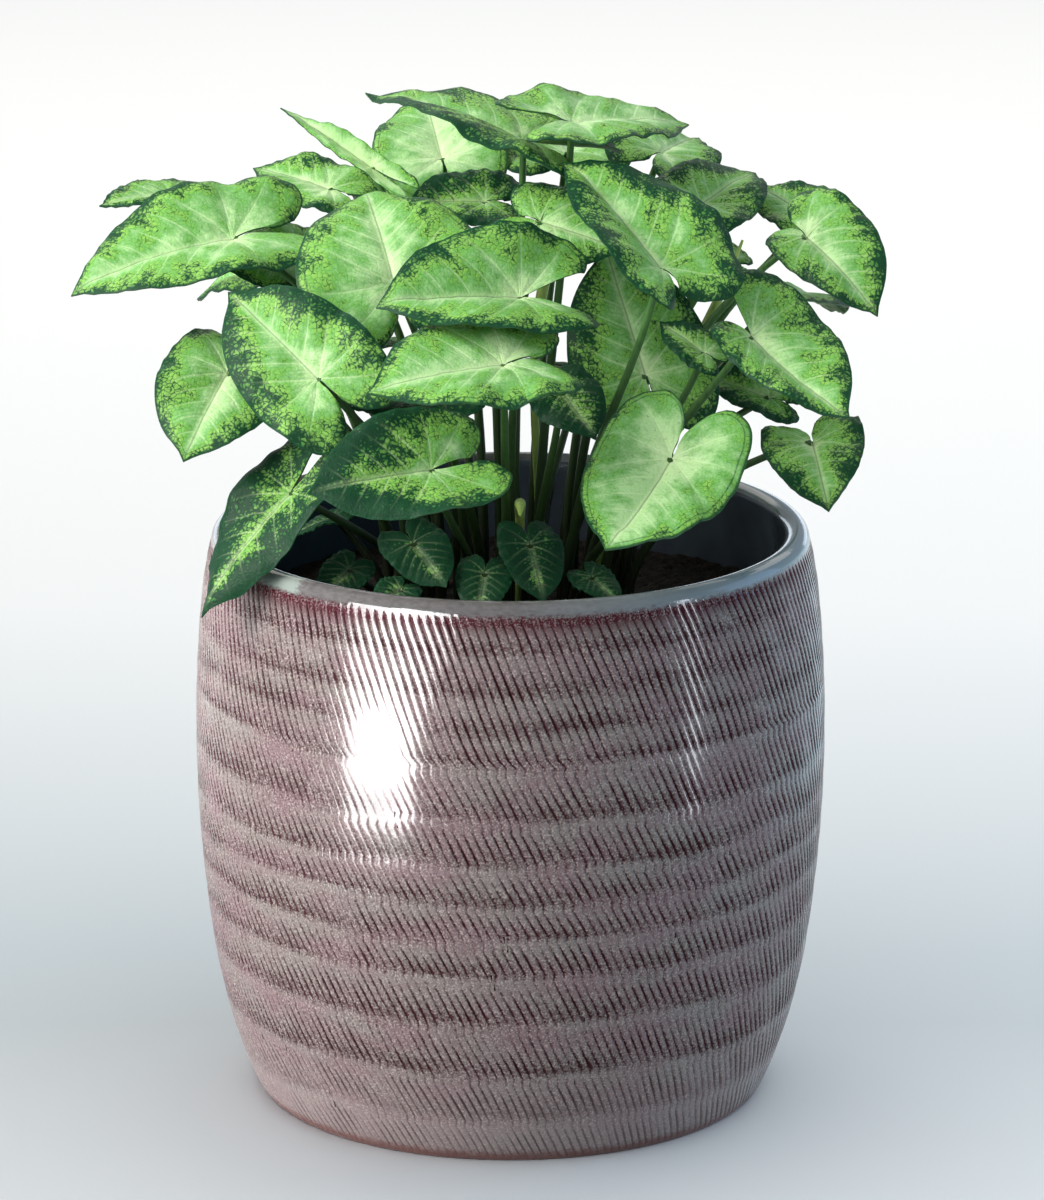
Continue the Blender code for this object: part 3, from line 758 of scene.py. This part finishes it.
def blade_point(leaf, turn, share):
    """A point of the blade and what the material needs there; turn is in degrees off the tip"""
    length = leaf.length * MM
    reach = margin_reach(abs(turn)) * share
    along = reach * math.cos(math.radians(turn))
    across = reach * math.sin(math.radians(turn)) * leaf.breadth
    side = int(turn < 0)
    across *= HALVES.get(leaf.name, EVEN)[side]
    if along < 0:
        along *= LOBE_SHARES.get(leaf.name, EVEN)[side]
    bend = math.radians(leaf.droop) * along
    if along < 0:
        bend *= LOBE_BEND
    half = bend / 2
    arc = along * length * (math.sin(half) / half if half else 1)
    fold = math.radians(leaf.fold)
    lift = abs(across) * length * math.sin(fold)
    wave = math.sin(WAVE_TURNS * math.radians(turn) + leaf.x)
    lift += WAVE_HEIGHT * length / WAVE_LENGTH * share ** 2 * wave
    lift += blade_relief(leaf, along, across, share)
    behind = clamp((abs(turn) - 20) / 70)  # none at the tip, full from the side on
    lift += LOBE_LIFTS.get(leaf.name, (0.0, 0.0))[side] * MM * share ** 2 * behind
    place = Vector((arc * math.cos(half) + lift * math.sin(bend),
                    across * length * math.cos(fold),
                    lift * math.cos(bend) - arc * math.sin(half)))
    return place, along, across


def leaf_frame(leaf):
    turn = Matrix.Rotation(math.radians(leaf.heading), 4, "Z")
    tip_up = Matrix.Rotation(math.radians(-leaf.pitch), 4, "Y")
    roll = Matrix.Rotation(math.radians(-leaf.roll), 4, "X")
    place = Matrix.Translation(Vector((leaf.x, leaf.y, leaf.z)) * MM)
    return place @ turn @ tip_up @ roll


print(f"margin at the tip {margin_reach(0):.2f}, at the side {margin_reach(90):.2f} of the length")

# %% [markdown]
# ## One pattern blade for all leaves
# What repeats is modelled once. The pattern is a grid whose width stands for the turn from lobe
# to lobe and whose height stands for the way from the stalk to the margin. Its lowest row is
# merged to one point, the place of the stalk. Each leaf gets its own copy of this mesh, and the
# formulas above put every point of the copy where it belongs.

# %% Pattern blade
BLADE_COLUMNS = 96
BLADE_ROWS = 16
LOWEST_ROW = -0.999

deselect_all()
bpy.ops.mesh.primitive_grid_add(x_subdivisions=BLADE_COLUMNS, y_subdivisions=BLADE_ROWS, size=2,
                                calc_uvs=False)
pattern = bpy.context.object
pattern.name = "pattern_blade"
in_edit_mode(pattern)
bpy.ops.object.mode_set(mode="OBJECT")
for vertex in pattern.data.vertices:
    vertex.select = vertex.co.y < LOWEST_ROW
bpy.ops.object.mode_set(mode="EDIT")
bpy.ops.mesh.merge(type="CENTER")
bpy.ops.object.mode_set(mode="OBJECT")
print(f"pattern blade of {len(pattern.data.vertices)} points")

# %% [markdown]
# ## The leaf's skin
# The variety is pale and milky round the stalk and along its veins. Its full green comes in from
# the margin as a net of dark lines round lime cells, which thickens until the cells close in
# dark patches. The net is a Voronoi pattern, and a leaf's tone says how far the green has come
# in: the lowest leaves, in the pot's shade, are dark nearly to the midrib, partly as painted shade.
# The midrib is a fine dark furrow with a pale border, and a thin vein runs along inside the margin.
# The cuticle is a soft wax gloss, and some light goes through the thin blade, which subsurface
# scattering gives. The patterns come first, then the share of green, then the coats.

# %% Patterns on the leaf
NET_CELL = 1.5  # mm
NET_WARP = 2.2  # mm
PATCH = 9.0  # mm
BLADE_VALUES = ("edge", "vein", "gap", "midrib", "inset", "reach", "tone")
TISSUE = {"IOR": 1.45, "Subsurface_Radius": (0.6, 1.0, 0.25), "Subsurface_Scale": 1.2 * MM}

upper = new_material("variegated_leaf_face", Roughness=0.45, Specular_IOR_Level=0.15,
                     Subsurface_Weight=0.25, **TISSUE)
flat = node(upper, "UVMap", uv_map="flat")
edge, vein, gap, midrib, inset, reach, tone = [
    node(upper, "Attribute", out="Fac", attribute_name=name) for name in BLADE_VALUES]
# millimetres from the nearest side vein, and a streaky grain that follows these veins
off_vein = node(upper, "Math", (vein, 0.5), operation="PINGPONG")
off_vein = node(upper, "Math", (off_vein, gap), operation="MULTIPLY")
across = node(upper, "Math", (vein, 7.0), operation="MULTIPLY")
outward = node(upper, "Math", (reach, 0.3), operation="MULTIPLY")
seed = node(upper, "SeparateXYZ", [flat], out="X")
seed = node(upper, "Math", (seed, 100.0), operation="SNAP")
streak = node(upper, "CombineXYZ", (across, outward, seed))
grain, patch, fine, warp = [
    node(upper, "TexNoise", {"Vector": place, "Scale": scale, "Detail": detail}, out=out)
    for place, scale, detail, out in ((streak, 0.9, 3.0, "Fac"), (flat, 1 / PATCH, 2.0, "Fac"),
                                      (flat, 0.9, 2.0, "Fac"), (flat, 0.45, 1.0, "Color"))]
warped = node(upper, "VectorMath", (warp, (NET_WARP,) * 3, flat), operation="MULTIPLY_ADD")
cells = node(upper, "TexVoronoi", {"Vector": warped, "Scale": 1 / NET_CELL}, out="Distance",
             feature="DISTANCE_TO_EDGE")
print(f"a net of {NET_CELL} mm cells")

# %% How far the green has come in
near_vein = node(upper, "MapRange", (off_vein, 3.0, 0.0, 0, 0.25))
near_midrib = node(upper, "MapRange", (midrib, 6.0, 0.0, 0, 0.5))
glow = node(upper, "Math", (near_vein, near_midrib), operation="MAXIMUM")
green = node(upper, "Math", (edge, 2.2), operation="POWER")
green = node(upper, "Math", (green, 1.25), operation="MULTIPLY")
for source, share in ((tone, 0.95), (patch, 2.7), (grain, 1.1), (glow, -1.0)):
    green = node(upper, "Math", (source, share, green), operation="MULTIPLY_ADD")
green = node(upper, "Math", (green, 2.1), operation="SUBTRACT")
# milky near the stalk, mid green further out, lime where the net begins
milky = node(upper, "MapRange", (green, 0.55, -0.5))
by_stalk = node(upper, "MapRange", (reach, 13.0, 1.0, 0, 0.45))
by_stalk = node(upper, "Math", (by_stalk, milky), operation="MULTIPLY")
lime = node(upper, "MapRange", (green, 0.2, 0.7, 0, 0.8))
deep = node(upper, "MapRange", (green, 0.7, 1.4, 0, 0.9))
# the net is faintly there on the whole blade
thread = node(upper, "MapRange", (cells, 0.16, 0.03))
seen = node(upper, "MapRange", (green, -0.6, 0.5, 0.04, 0.4))
thread = node(upper, "Math", (thread, seen), operation="MULTIPLY")
# in the green its dark lines widen until the cells close
width = node(upper, "MapRange", (green, 0.3, 2.2, -0.1, 0.5))
width = node(upper, "Math", (fine, 0.5, width), operation="MULTIPLY_ADD")
width = node(upper, "Math", (width, 0.25), operation="SUBTRACT")
net = node(upper, "Math", (width, cells), operation="SUBTRACT")
net = node(upper, "MapRange", (net, -0.1, 0.1, 0, 0.95))
dark = node(upper, "Mix", {FACTOR: patch, FIRST: "#08241e", SECOND: "#174429"}, **BLEND)

# %% Veins, and the coats of the leaf face
# fine pale veins and the midrib's pale border, faint near the margin and where it is dark
side_line = node(upper, "MapRange", (off_vein, 0.45, 0.1, 0, 0.28))
border = node(upper, "MapRange", (midrib, 1.6, 0.4, 0, 0.35))
lines = node(upper, "Math", (side_line, border), operation="MAXIMUM")
inner = node(upper, "MapRange", (edge, 0.95, 0.5))
clear = node(upper, "MapRange", (green, 1.6, 0.6, 0.3, 1.0))
for fade in (inner, clear):
    lines = node(upper, "Math", (lines, fade), operation="MULTIPLY")
# thin dark lines: the midrib's furrow, the vein along the margin, and the rim
furrow = node(upper, "MapRange", (midrib, 0.4, 0.15, 0, 0.42))
along_margin = node(upper, "Math", (inset, 2.3, 0.25), operation="COMPARE")
along_margin = node(upper, "Math", (along_margin, fine), operation="MULTIPLY")
rim = node(upper, "MapRange", (inset, 1.1, 0.5, 0, 0.9))
thin = node(upper, "Math", (furrow, along_margin), operation="MAXIMUM")
thin = node(upper, "Math", (thin, rim), operation="MAXIMUM")
body = node(upper, "Mix", {FACTOR: milky, FIRST: "#4f9a3b", SECOND: "#a8cf92"}, **BLEND)
for mask, tint in ((by_stalk, "#d3e6b4"), (lime, "#8fbc5c"), (deep, "#2b6a35"),
                   (thread, "#3f8238"), (net, dark), (lines, "#cfe3b2"), (thin, "#17432a")):
    body = node(upper, "Mix", {FACTOR: mask, FIRST: body, SECOND: tint}, **BLEND)
raised = node(upper, "Math", (lines, -1.0, cells), operation="MULTIPLY_ADD")
bumps = node(upper, "Bump", {"Strength": 0.7, "Distance": 0.3 * MM, "Height": raised},
             out="Normal")
plug(upper, Base_Color=body, Normal=bumps)
print(upper.name)

# %% [markdown]
# ## Underside, margin and stalk
# The underside is paler and matt, and its veins stand out. The margin is a thin dark line of
# thickened tissue. Stalks are smooth, round and finely striped along their length, green above,
# with painted shade making them dark near the soil, under the leaves. A rolled young leaf is
# striped in the same way by its folds, so both finishes come from one function.

# %% Leaf underside and margin
under = new_material("leaf_underside", Roughness=0.6, Subsurface_Weight=0.25, **TISSUE)
flat = node(under, "UVMap", uv_map="flat")
edge, vein, gap, midrib, tone = [
    node(under, "Attribute", out="Fac", attribute_name=name)
    for name in ("edge", "vein", "gap", "midrib", "tone")]
off_vein = node(under, "Math", (vein, 0.5), operation="PINGPONG")
off_vein = node(under, "Math", (off_vein, gap), operation="MULTIPLY")
near = node(under, "Math", (off_vein, midrib), operation="MINIMUM")
patch = node(under, "TexNoise", {"Vector": flat, "Scale": 0.5, "Detail": 4.0}, out="Fac")
dull = node(under, "Math", (edge, tone), operation="ADD")
dull = node(under, "Math", (patch, 0.6, dull), operation="MULTIPLY_ADD")
dull = node(under, "MapRange", (dull, 0.4, 1.8))
line = node(under, "MapRange", (near, 0.7, 0.2, 0, 0.5))
body = node(under, "Mix", {FACTOR: dull, FIRST: "#7c9f54", SECOND: "#2f5a2f"}, **BLEND)
body = node(under, "Mix", {FACTOR: line, FIRST: body, SECOND: "#96b070"}, **BLEND)
bumps = node(under, "Bump", {"Strength": 0.6, "Distance": 0.3 * MM, "Height": line}, out="Normal")
plug(under, Base_Color=body, Normal=bumps)

margin = new_material("leaf_margin", Roughness=0.5, IOR=1.45)
flat = node(margin, "UVMap", uv_map="flat")
mottle = node(margin, "TexNoise", {"Vector": flat, "Scale": 0.6, "Detail": 3.0}, out="Fac")
body = node(margin, "Mix", {FACTOR: mottle, FIRST: "#0f331f", SECOND: "#2c5f33"}, **BLEND)
plug(margin, Base_Color=body)
print(under.name, margin.name)

# %% Stalk and rolled leaf
def add_stripes(paint, stretch, width, detail, start, climb, tints, bump, depth):
    """Stripes along a stalk; tints are the low one, the high one and the stripes' own"""
    where = node(paint, "TexCoord", out="Object")
    height = node(paint, "SeparateXYZ", [where], out="Z")
    long_way = node(paint, "Mapping", {"Vector": where, "Scale": (1, 1, stretch)})
    stripes = node(paint, "TexNoise", {"Vector": long_way, "Scale": 1 / width, "Detail": detail},
                   out="Fac")
    # the colour climbs from the low tint to the high one; the stalks' dark low tint is painted
    # shade near the soil
    high = node(paint, "MapRange", (height, *climb))
    body = node(paint, "Mix", {FACTOR: high, FIRST: tints[0], SECOND: tints[1]}, **BLEND)
    stripe = node(paint, "MapRange", (stripes, start, 0.75, 0, 0.6))
    body = node(paint, "Mix", {FACTOR: stripe, FIRST: body, SECOND: tints[2]}, **BLEND)
    bumps = node(paint, "Bump", {"Strength": bump, "Distance": depth, "Height": stripes},
                 out="Normal")
    plug(paint, Base_Color=body, Normal=bumps)


stalk_paint = new_material("smooth_leaf_stalk", Roughness=0.4, Specular_IOR_Level=0.3,
                           Subsurface_Weight=0.15, **{**TISSUE, "Subsurface_Scale": MM})
add_stripes(stalk_paint, stretch=0.08, width=0.8 * MM, detail=3.0, start=0.45,
            climb=(0.17, 0.26), tints=("#191711", "#426c34", "#23401f"), bump=0.4,
            depth=0.12 * MM)
rolled_paint = new_material("rolled_young_leaf", Roughness=0.4, Subsurface_Weight=0.2, **TISSUE)
add_stripes(rolled_paint, stretch=0.1, width=1.2 * MM, detail=2.0, start=0.5,
            climb=(0.16, 0.2), tints=("#4f7038", "#a3bf63", "#3d6b2f"), bump=0.5,
            depth=0.2 * MM)
print(stalk_paint.name, rolled_paint.name)

# %% [markdown]
# ## Stalks
# A stalk is a Bezier curve with a round bevel: it rises from the soil and leans out to arrive
# under its blade. Two points and their handles are enough, and a third holds the foot in the
# ground. The curve's radius tapers upwards. It is converted to a mesh so that it can be joined
# to its blade, since on the plant they are one piece.

# %% Stalks
STALK_BASE = 1.7 * MM
STALK_TOP = 1.05 * MM
STALK_RISE = 0.45  # of its height, straight up from the soil
STALK_ARRIVAL = 0.38  # of its length, in line with its end
STALK_STEPS = 18
STALK_ROUNDNESS = 4
STALK_STOP = 0.5 * MM  # below the blade's middle
ROUND = math.radians(50)  # faces that meet at less than this look like one smooth surface


def tube_to_mesh(tube, steps, roundness):
    """Makes a closed round mesh of a curve whose points hold their radius in metres"""
    tube.data.resolution_u = steps
    tube.data.bevel_depth = 1.0
    tube.data.bevel_resolution = roundness
    tube.data.use_fill_caps = True
    choose(tube)
    bpy.ops.object.convert(target="MESH")
    return bpy.context.object


def stalk_handles(leaf, root):
    """Start on the soil, its handle, the handle under the blade and the end"""
    end = Vector((leaf.x, leaf.y, leaf.z)) * MM
    start = Vector((root.x, root.y, SOIL_TOP))
    out = Vector((end.x - start.x, end.y - start.y, 0))
    out = out.normalized() if out.length > MM else Vector((0, -1, 0))
    lean = math.radians(leaf.lean)
    arrive = out * math.cos(lean) + Vector((0, 0, math.sin(lean)))
    rise = start + Vector((0, 0, (end.z - start.z) * STALK_RISE))
    return start, rise, end - arrive * (end - start).length * STALK_ARRIVAL, end


def build_stalk(name, handles, radii):
    """A round tapering tube along a foot and one Bezier stretch; radii at foot, soil and top"""
    start, rise, before, end = handles
    foot = start - Vector((0, 0, STALK_FOOT))
    bpy.ops.curve.primitive_bezier_curve_add()
    tube = bpy.context.object
    tube.name = name
    tube.data.splines[0].bezier_points.add(1)
    points = tube.data.splines[0].bezier_points
    places = ((foot, foot, start), (foot, start, rise), (before, end, end))
    for point, (left, place, right), radius in zip(points, places, radii):
        point.handle_left_type = point.handle_right_type = "FREE"
        point.handle_left, point.co, point.handle_right = left, place, right
        point.radius = radius
    tube.location = (0, 0, 0)
    tube.rotation_euler = (0, 0, 0)
    return tube_to_mesh(tube, STALK_STEPS, STALK_ROUNDNESS)


# %% [markdown]
# ## Growing the leaves
# Each leaf copies the pattern, moves its points by the formulas, and keeps on them what the skin
# needs: nearness to the edge, the vein's number, the distance from the midrib and the leaf's
# tone. A flat map of the blade in millimetres carries the net and the patches. Solidify gives the
# thickness downwards, more under the midrib, where a rib stands out. Then blade and stalk join.

# %% Leaves
BLADE_THICK = 0.5 * MM
RIB_THICK = 1.4 * MM
BLADE_RAISE = 0.2 * MM  # the face lies this far above the solid's middle
RIB_WIDTH = 0.9 * MM
MAP_SHIFT = 100  # mm between two leaves' maps, so that no two have the same patches
TIP_TONE = 0.25  # how much darker the tip is
TIP_TONES = {"leaf_front_centre": 1.6, "leaf_over_rim": 0.5, "leaf_front_left": 0.5}


def leaf_tone(leaf, along):
    """How much dark green there is at a place along the midrib, more towards the tip"""
    if leaf.name.startswith("base_leaf"):
        return leaf.tone
    return leaf.tone + TIP_TONES.get(leaf.name, TIP_TONE) * along


def grown_blade(leaf, number):
    mesh = pattern.data.copy()
    blade = bpy.data.objects.new("living_" + leaf.name, mesh)
    bpy.context.scene.collection.objects.link(blade)
    length = leaf.length * MM
    notch = OPEN_NOTCHES.get(leaf.name, NOTCH_AT_MARGIN)
    kept = {name: [] for name in BLADE_VALUES}
    flat = []
    rib = blade.vertex_groups.new(name="rib")
    for vertex in mesh.vertices:
        share = (vertex.co.y + 1) / 2
        opening = min(1, share / NOTCH_SHARE)
        limit = NOTCH_AT_STALK + (notch - NOTCH_AT_STALK) * math.sin(opening * math.pi / 2)
        turn = -vertex.co.x * limit
        place, along, across = blade_point(leaf, turn, share)
        vertex.co = place + Vector((0, 0, BLADE_RAISE))
        reach = math.hypot(along, across) * length / MM
        near_midrib = 1 + 3 * math.exp(-((turn / 12) ** 2))
        kept["edge"].append(share ** near_midrib)
        kept["vein"].append(vein_number(along, across) if share > 0 else 0.5)
        kept["gap"].append(vein_gap(along, across, length) / MM)
        kept["midrib"].append(abs(across) * length / MM if along > 0 else reach)
        kept["inset"].append((1 - share) * margin_reach(abs(turn)) * length / MM)
        kept["tone"].append(leaf_tone(leaf, along))
        kept["reach"].append(reach)
        flat.append((along * length / MM + MAP_SHIFT * number, across * length / MM))
        ridge = sink(across * length, RIB_WIDTH) * (1 - share) if along > 0 else 0
        rib.add([vertex.index], ridge, "REPLACE")
    for name, values in kept.items():
        mesh.attributes.new(name, "FLOAT", "POINT").data.foreach_set("value", values)
    layer = mesh.uv_layers.new(name="flat")
    for loop in mesh.loops:
        layer.data[loop.index].uv = flat[loop.vertex_index]
    mesh.transform(leaf_frame(leaf))
    return blade


def thicken(blade):
    skin = blade.modifiers.new("thickness", "SOLIDIFY")
    skin.thickness = RIB_THICK
    skin.offset = -1
    skin.vertex_group = "rib"
    skin.thickness_vertex_group = BLADE_THICK / RIB_THICK
    skin.material_offset = 1
    skin.material_offset_rim = 2
    choose(blade)
    bpy.ops.object.modifier_apply(modifier=skin.name)


def grow_leaf(leaf, root, number):
    blade = grown_blade(leaf, number)
    for paint in (upper, under, margin, stalk_paint):
        blade.data.materials.append(paint)
    thicken(blade)
    start, rise, before, end = stalk_handles(leaf, root)
    end = end - (end - before).normalized() * STALK_STOP
    stalk = build_stalk("stalk", (start, rise, before, end), (STALK_BASE, STALK_BASE, STALK_TOP))
    stalk.data.materials.append(stalk_paint)
    choose(blade, stalk)
    bpy.ops.object.join()
    bpy.ops.object.shade_smooth_by_angle(angle=ROUND)
    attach(blade, "root")
    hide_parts(leaf.name)
    return blade


grown = []
for number, (leaf, root) in enumerate(zip(LEAVES, roots)):
    piece = grow_leaf(leaf, root, number)
    grown.append(piece)
bpy.data.objects.remove(pattern, do_unlink=True)
print(f"{len(grown)} leaves, {sum(len(piece.data.polygons) for piece in grown)} faces")

# %% [markdown]
# ## Young shoots
# A new leaf comes up rolled in a point. It is the same curve as a stalk, but the radius swells
# where the rolled blade is and closes to a tip, so it has more points, read off the same Bezier.

# %% Shoots
SHOOT_STEPS = 8
SHOOT_ROUNDNESS = 5


def bezier(handles, share):
    rest = 1 - share
    weights = (rest ** 3, 3 * rest ** 2 * share, 3 * rest * share ** 2, share ** 3)
    return sum((point * weight for point, weight in zip(handles, weights)), Vector())


def grow_shoot(shoot, root):
    handles = stalk_handles(shoot, root)
    steps = len(SHOOT_RADII) - 2
    places = [handles[0] - Vector((0, 0, STALK_FOOT))]
    places += [bezier(handles, step / steps) for step in range(steps + 1)]
    bpy.ops.curve.primitive_nurbs_path_add()
    tube = bpy.context.object
    tube.name = "living_" + shoot.name
    line = tube.data.splines[0]
    line.points.add(len(places) - len(line.points))
    for point, place, radius in zip(line.points, places, SHOOT_RADII):
        point.co = (*place, 1)
        point.radius = radius * MM
    line.order_u = 3
    line.use_endpoint_u = True
    tube = tube_to_mesh(tube, SHOOT_STEPS, SHOOT_ROUNDNESS)
    tube.data.materials.append(rolled_paint)
    bpy.ops.object.shade_smooth_by_angle(angle=ROUND)
    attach(tube, "root")
    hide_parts(shoot.name)
    return tube


for shoot, root in zip(SHOOTS, roots[len(LEAVES):]):
    made = grow_shoot(shoot, root)
    print(made.name, len(made.data.polygons))

# %% [markdown]
# ## The studio
# The pot stands on a pale table that runs on without an edge. It is matt, with painted shade that
# greys it in a band beside and just behind the pot, and painted light that keeps it white in front.
# The same big soft light stands high on the left twice: once for the leaves, and once for the
# pot's wall, where no mirror image of it should show. Weaker lights fill in from low on the left,
# from the right and from the front. The glaze mirrors what stands round it, so it gets upright
# panels that light nothing else: a window and its turned neighbour on the left, a narrow strip on
# the right, one at each side and a wide one behind. Two lights from above keep the table plain to
# its far end, and a pale surround fills the rest.

# %% Floor
FLOOR_SIZE = 12.0
deselect_all()
bpy.ops.mesh.primitive_plane_add(size=FLOOR_SIZE)
floor = bpy.context.object
floor.name = "studio_floor"
table_top = new_material("matt_pale_table", Roughness=0.85)
where = node(table_top, "TexCoord", out="Object")
away = node(table_top, "SeparateXYZ", [where], out="Y")
# painted shade: a grey, slightly cool band beside and just behind the pot, fading to white further
# back
depth = node(table_top, "MapRange", (away, 0.12, 0.55))
tint = node(table_top, "Mix", {FACTOR: depth, FIRST: "#dce4e6", SECOND: "#fbfbf9"}, **BLEND)
# painted light: the table in front of the pot is whiter
near = node(table_top, "MapRange", (away, 0.05, -0.12))
tint = node(table_top, "Mix", {FACTOR: near, FIRST: tint, SECOND: "#fbffff"}, **BLEND)
plug(table_top, Base_Color=tint)
floor.data.materials.append(table_top)

# %% Lights
# what a light is for: what it lights alone (INCLUDE) or leaves out (EXCLUDE), and in which kind
# of reflection it doesn't show
USES = {"all": (None, (), None),
        "plant": ("EXCLUDE", (floor, pot), None),
        "table": ("INCLUDE", (floor,), None),
        "wall": ("INCLUDE", (pot,), "visible_glossy"),
        "glaze": ("INCLUDE", (pot,), "visible_diffuse")}
# name, use, place, target and size in metres, watts, tint, degrees turned in its own plane
LIGHTS = (
    ("upper_left", "plant", (-1.05, -0.35, 1.0), (0, 0, 0.2), (1.0, 1.0), 34, "#fffaf4", 0),
    ("wall_left", "wall", (-1.05, -0.35, 1.0), (0, 0, 0.2), (1.0, 1.0), 29, "#fffcf8", 0),
    ("low_left", "wall", (-0.95, -0.3, 0.12), (0, 0, 0.09), (0.9, 0.25), 8, "#f8faff", 0),
    ("right", "all", (1.1, 0.25, 0.5), (0, 0, 0.15), (0.7, 0.7), 1.8, "#9cc6ff", 0),
    ("cool_right", "wall", (1.0, -0.2, 0.4), (0, 0, 0.1), (0.7, 0.7), 1.9, "#3ccfff", 0),
    ("front", "plant", (0.5, -1.7, 0.8), (0, 0, 0.25), (1.0, 1.0), 6, "#fffdf4", 0),
    ("over_table", "table", (0, 0.15, 2.0), (0, 0.15, 0), (3.0, 3.0), 20.5, "#fffcf3", 0),
    ("window", "glaze", (-0.235, -0.262, 0.125), (0.022, -0.021, 0.125), (0.15, 0.22), 2.0,
     "#ffffff", 0),
    ("window_side", "glaze", (-0.2, -0.295, 0.155), (0.022, -0.021, 0.155), (0.13, 0.2), 1.8,
     "#ffffff", -28),
    ("strip", "glaze", (0.349, -0.196, 0.13), (0.003, 0.004, 0.13), (0.035, 0.22), 0.25,
     "#f0f6ff", 0),
    ("side_left", "glaze", (-0.3, 0.175, 0.09), (0, 0, 0.09), (0.35, 0.2), 0.12, "#ffffff", 0),
    ("side_right", "glaze", (0.3, 0.175, 0.09), (0, 0, 0.09), (0.35, 0.2), 0.12, "#b4e8ff", 0),
    ("behind", "glaze", (0, 2.5, 0.3), (0, 0, 0.2), (3.0, 0.5), 8, "#e6f2ff", 0),
    ("far", "all", (0.0, 1.6, 1.3), (0, 1.3, 0), (3.0, 1.2), 15, "#fff8ee", 0),
)
SURROUND_STRENGTH = 0.5


def panel_light(name, place, target, size, power, tint, turn):
    """A rectangular soft light that faces its target and is itself unseen"""
    bpy.ops.object.light_add(type="AREA", location=place)
    lamp = bpy.context.object
    lamp.name = name
    aim = (Vector(target) - Vector(place)).to_track_quat("-Z", "Y").to_matrix()
    lamp.rotation_euler = (aim @ Matrix.Rotation(math.radians(turn), 3, "Z")).to_euler()
    lamp.data.shape = "RECTANGLE"
    lamp.data.size, lamp.data.size_y = size
    lamp.data.energy = power
    lamp.data.color = colour(tint)[:3]
    lamp.visible_camera = False
    return lamp


def link_light(lamp, state, pieces):
    linked = bpy.data.collections.new(lamp.name + "_" + state.lower())
    for piece in pieces:
        linked.objects.link(piece)
    for entry in linked.collection_objects:
        entry.light_linking.link_state = state
    lamp.light_linking.receiver_collection = linked


for name, use, *values in LIGHTS:
    lamp = panel_light("light_" + name, *values)
    state, pieces, hidden = USES[use]
    if state:
        link_light(lamp, state, pieces)
    if hidden:
        setattr(lamp, hidden, False)

surround = bpy.data.worlds.new("pale_surround")
surround.use_nodes = True
sky = surround.node_tree.nodes["Background"]
sky.inputs["Color"].default_value = colour("#e4eefa")
sky.inputs["Strength"].default_value = SURROUND_STRENGTH
bpy.context.scene.world = surround
print(f"{len(LIGHTS)} lights")
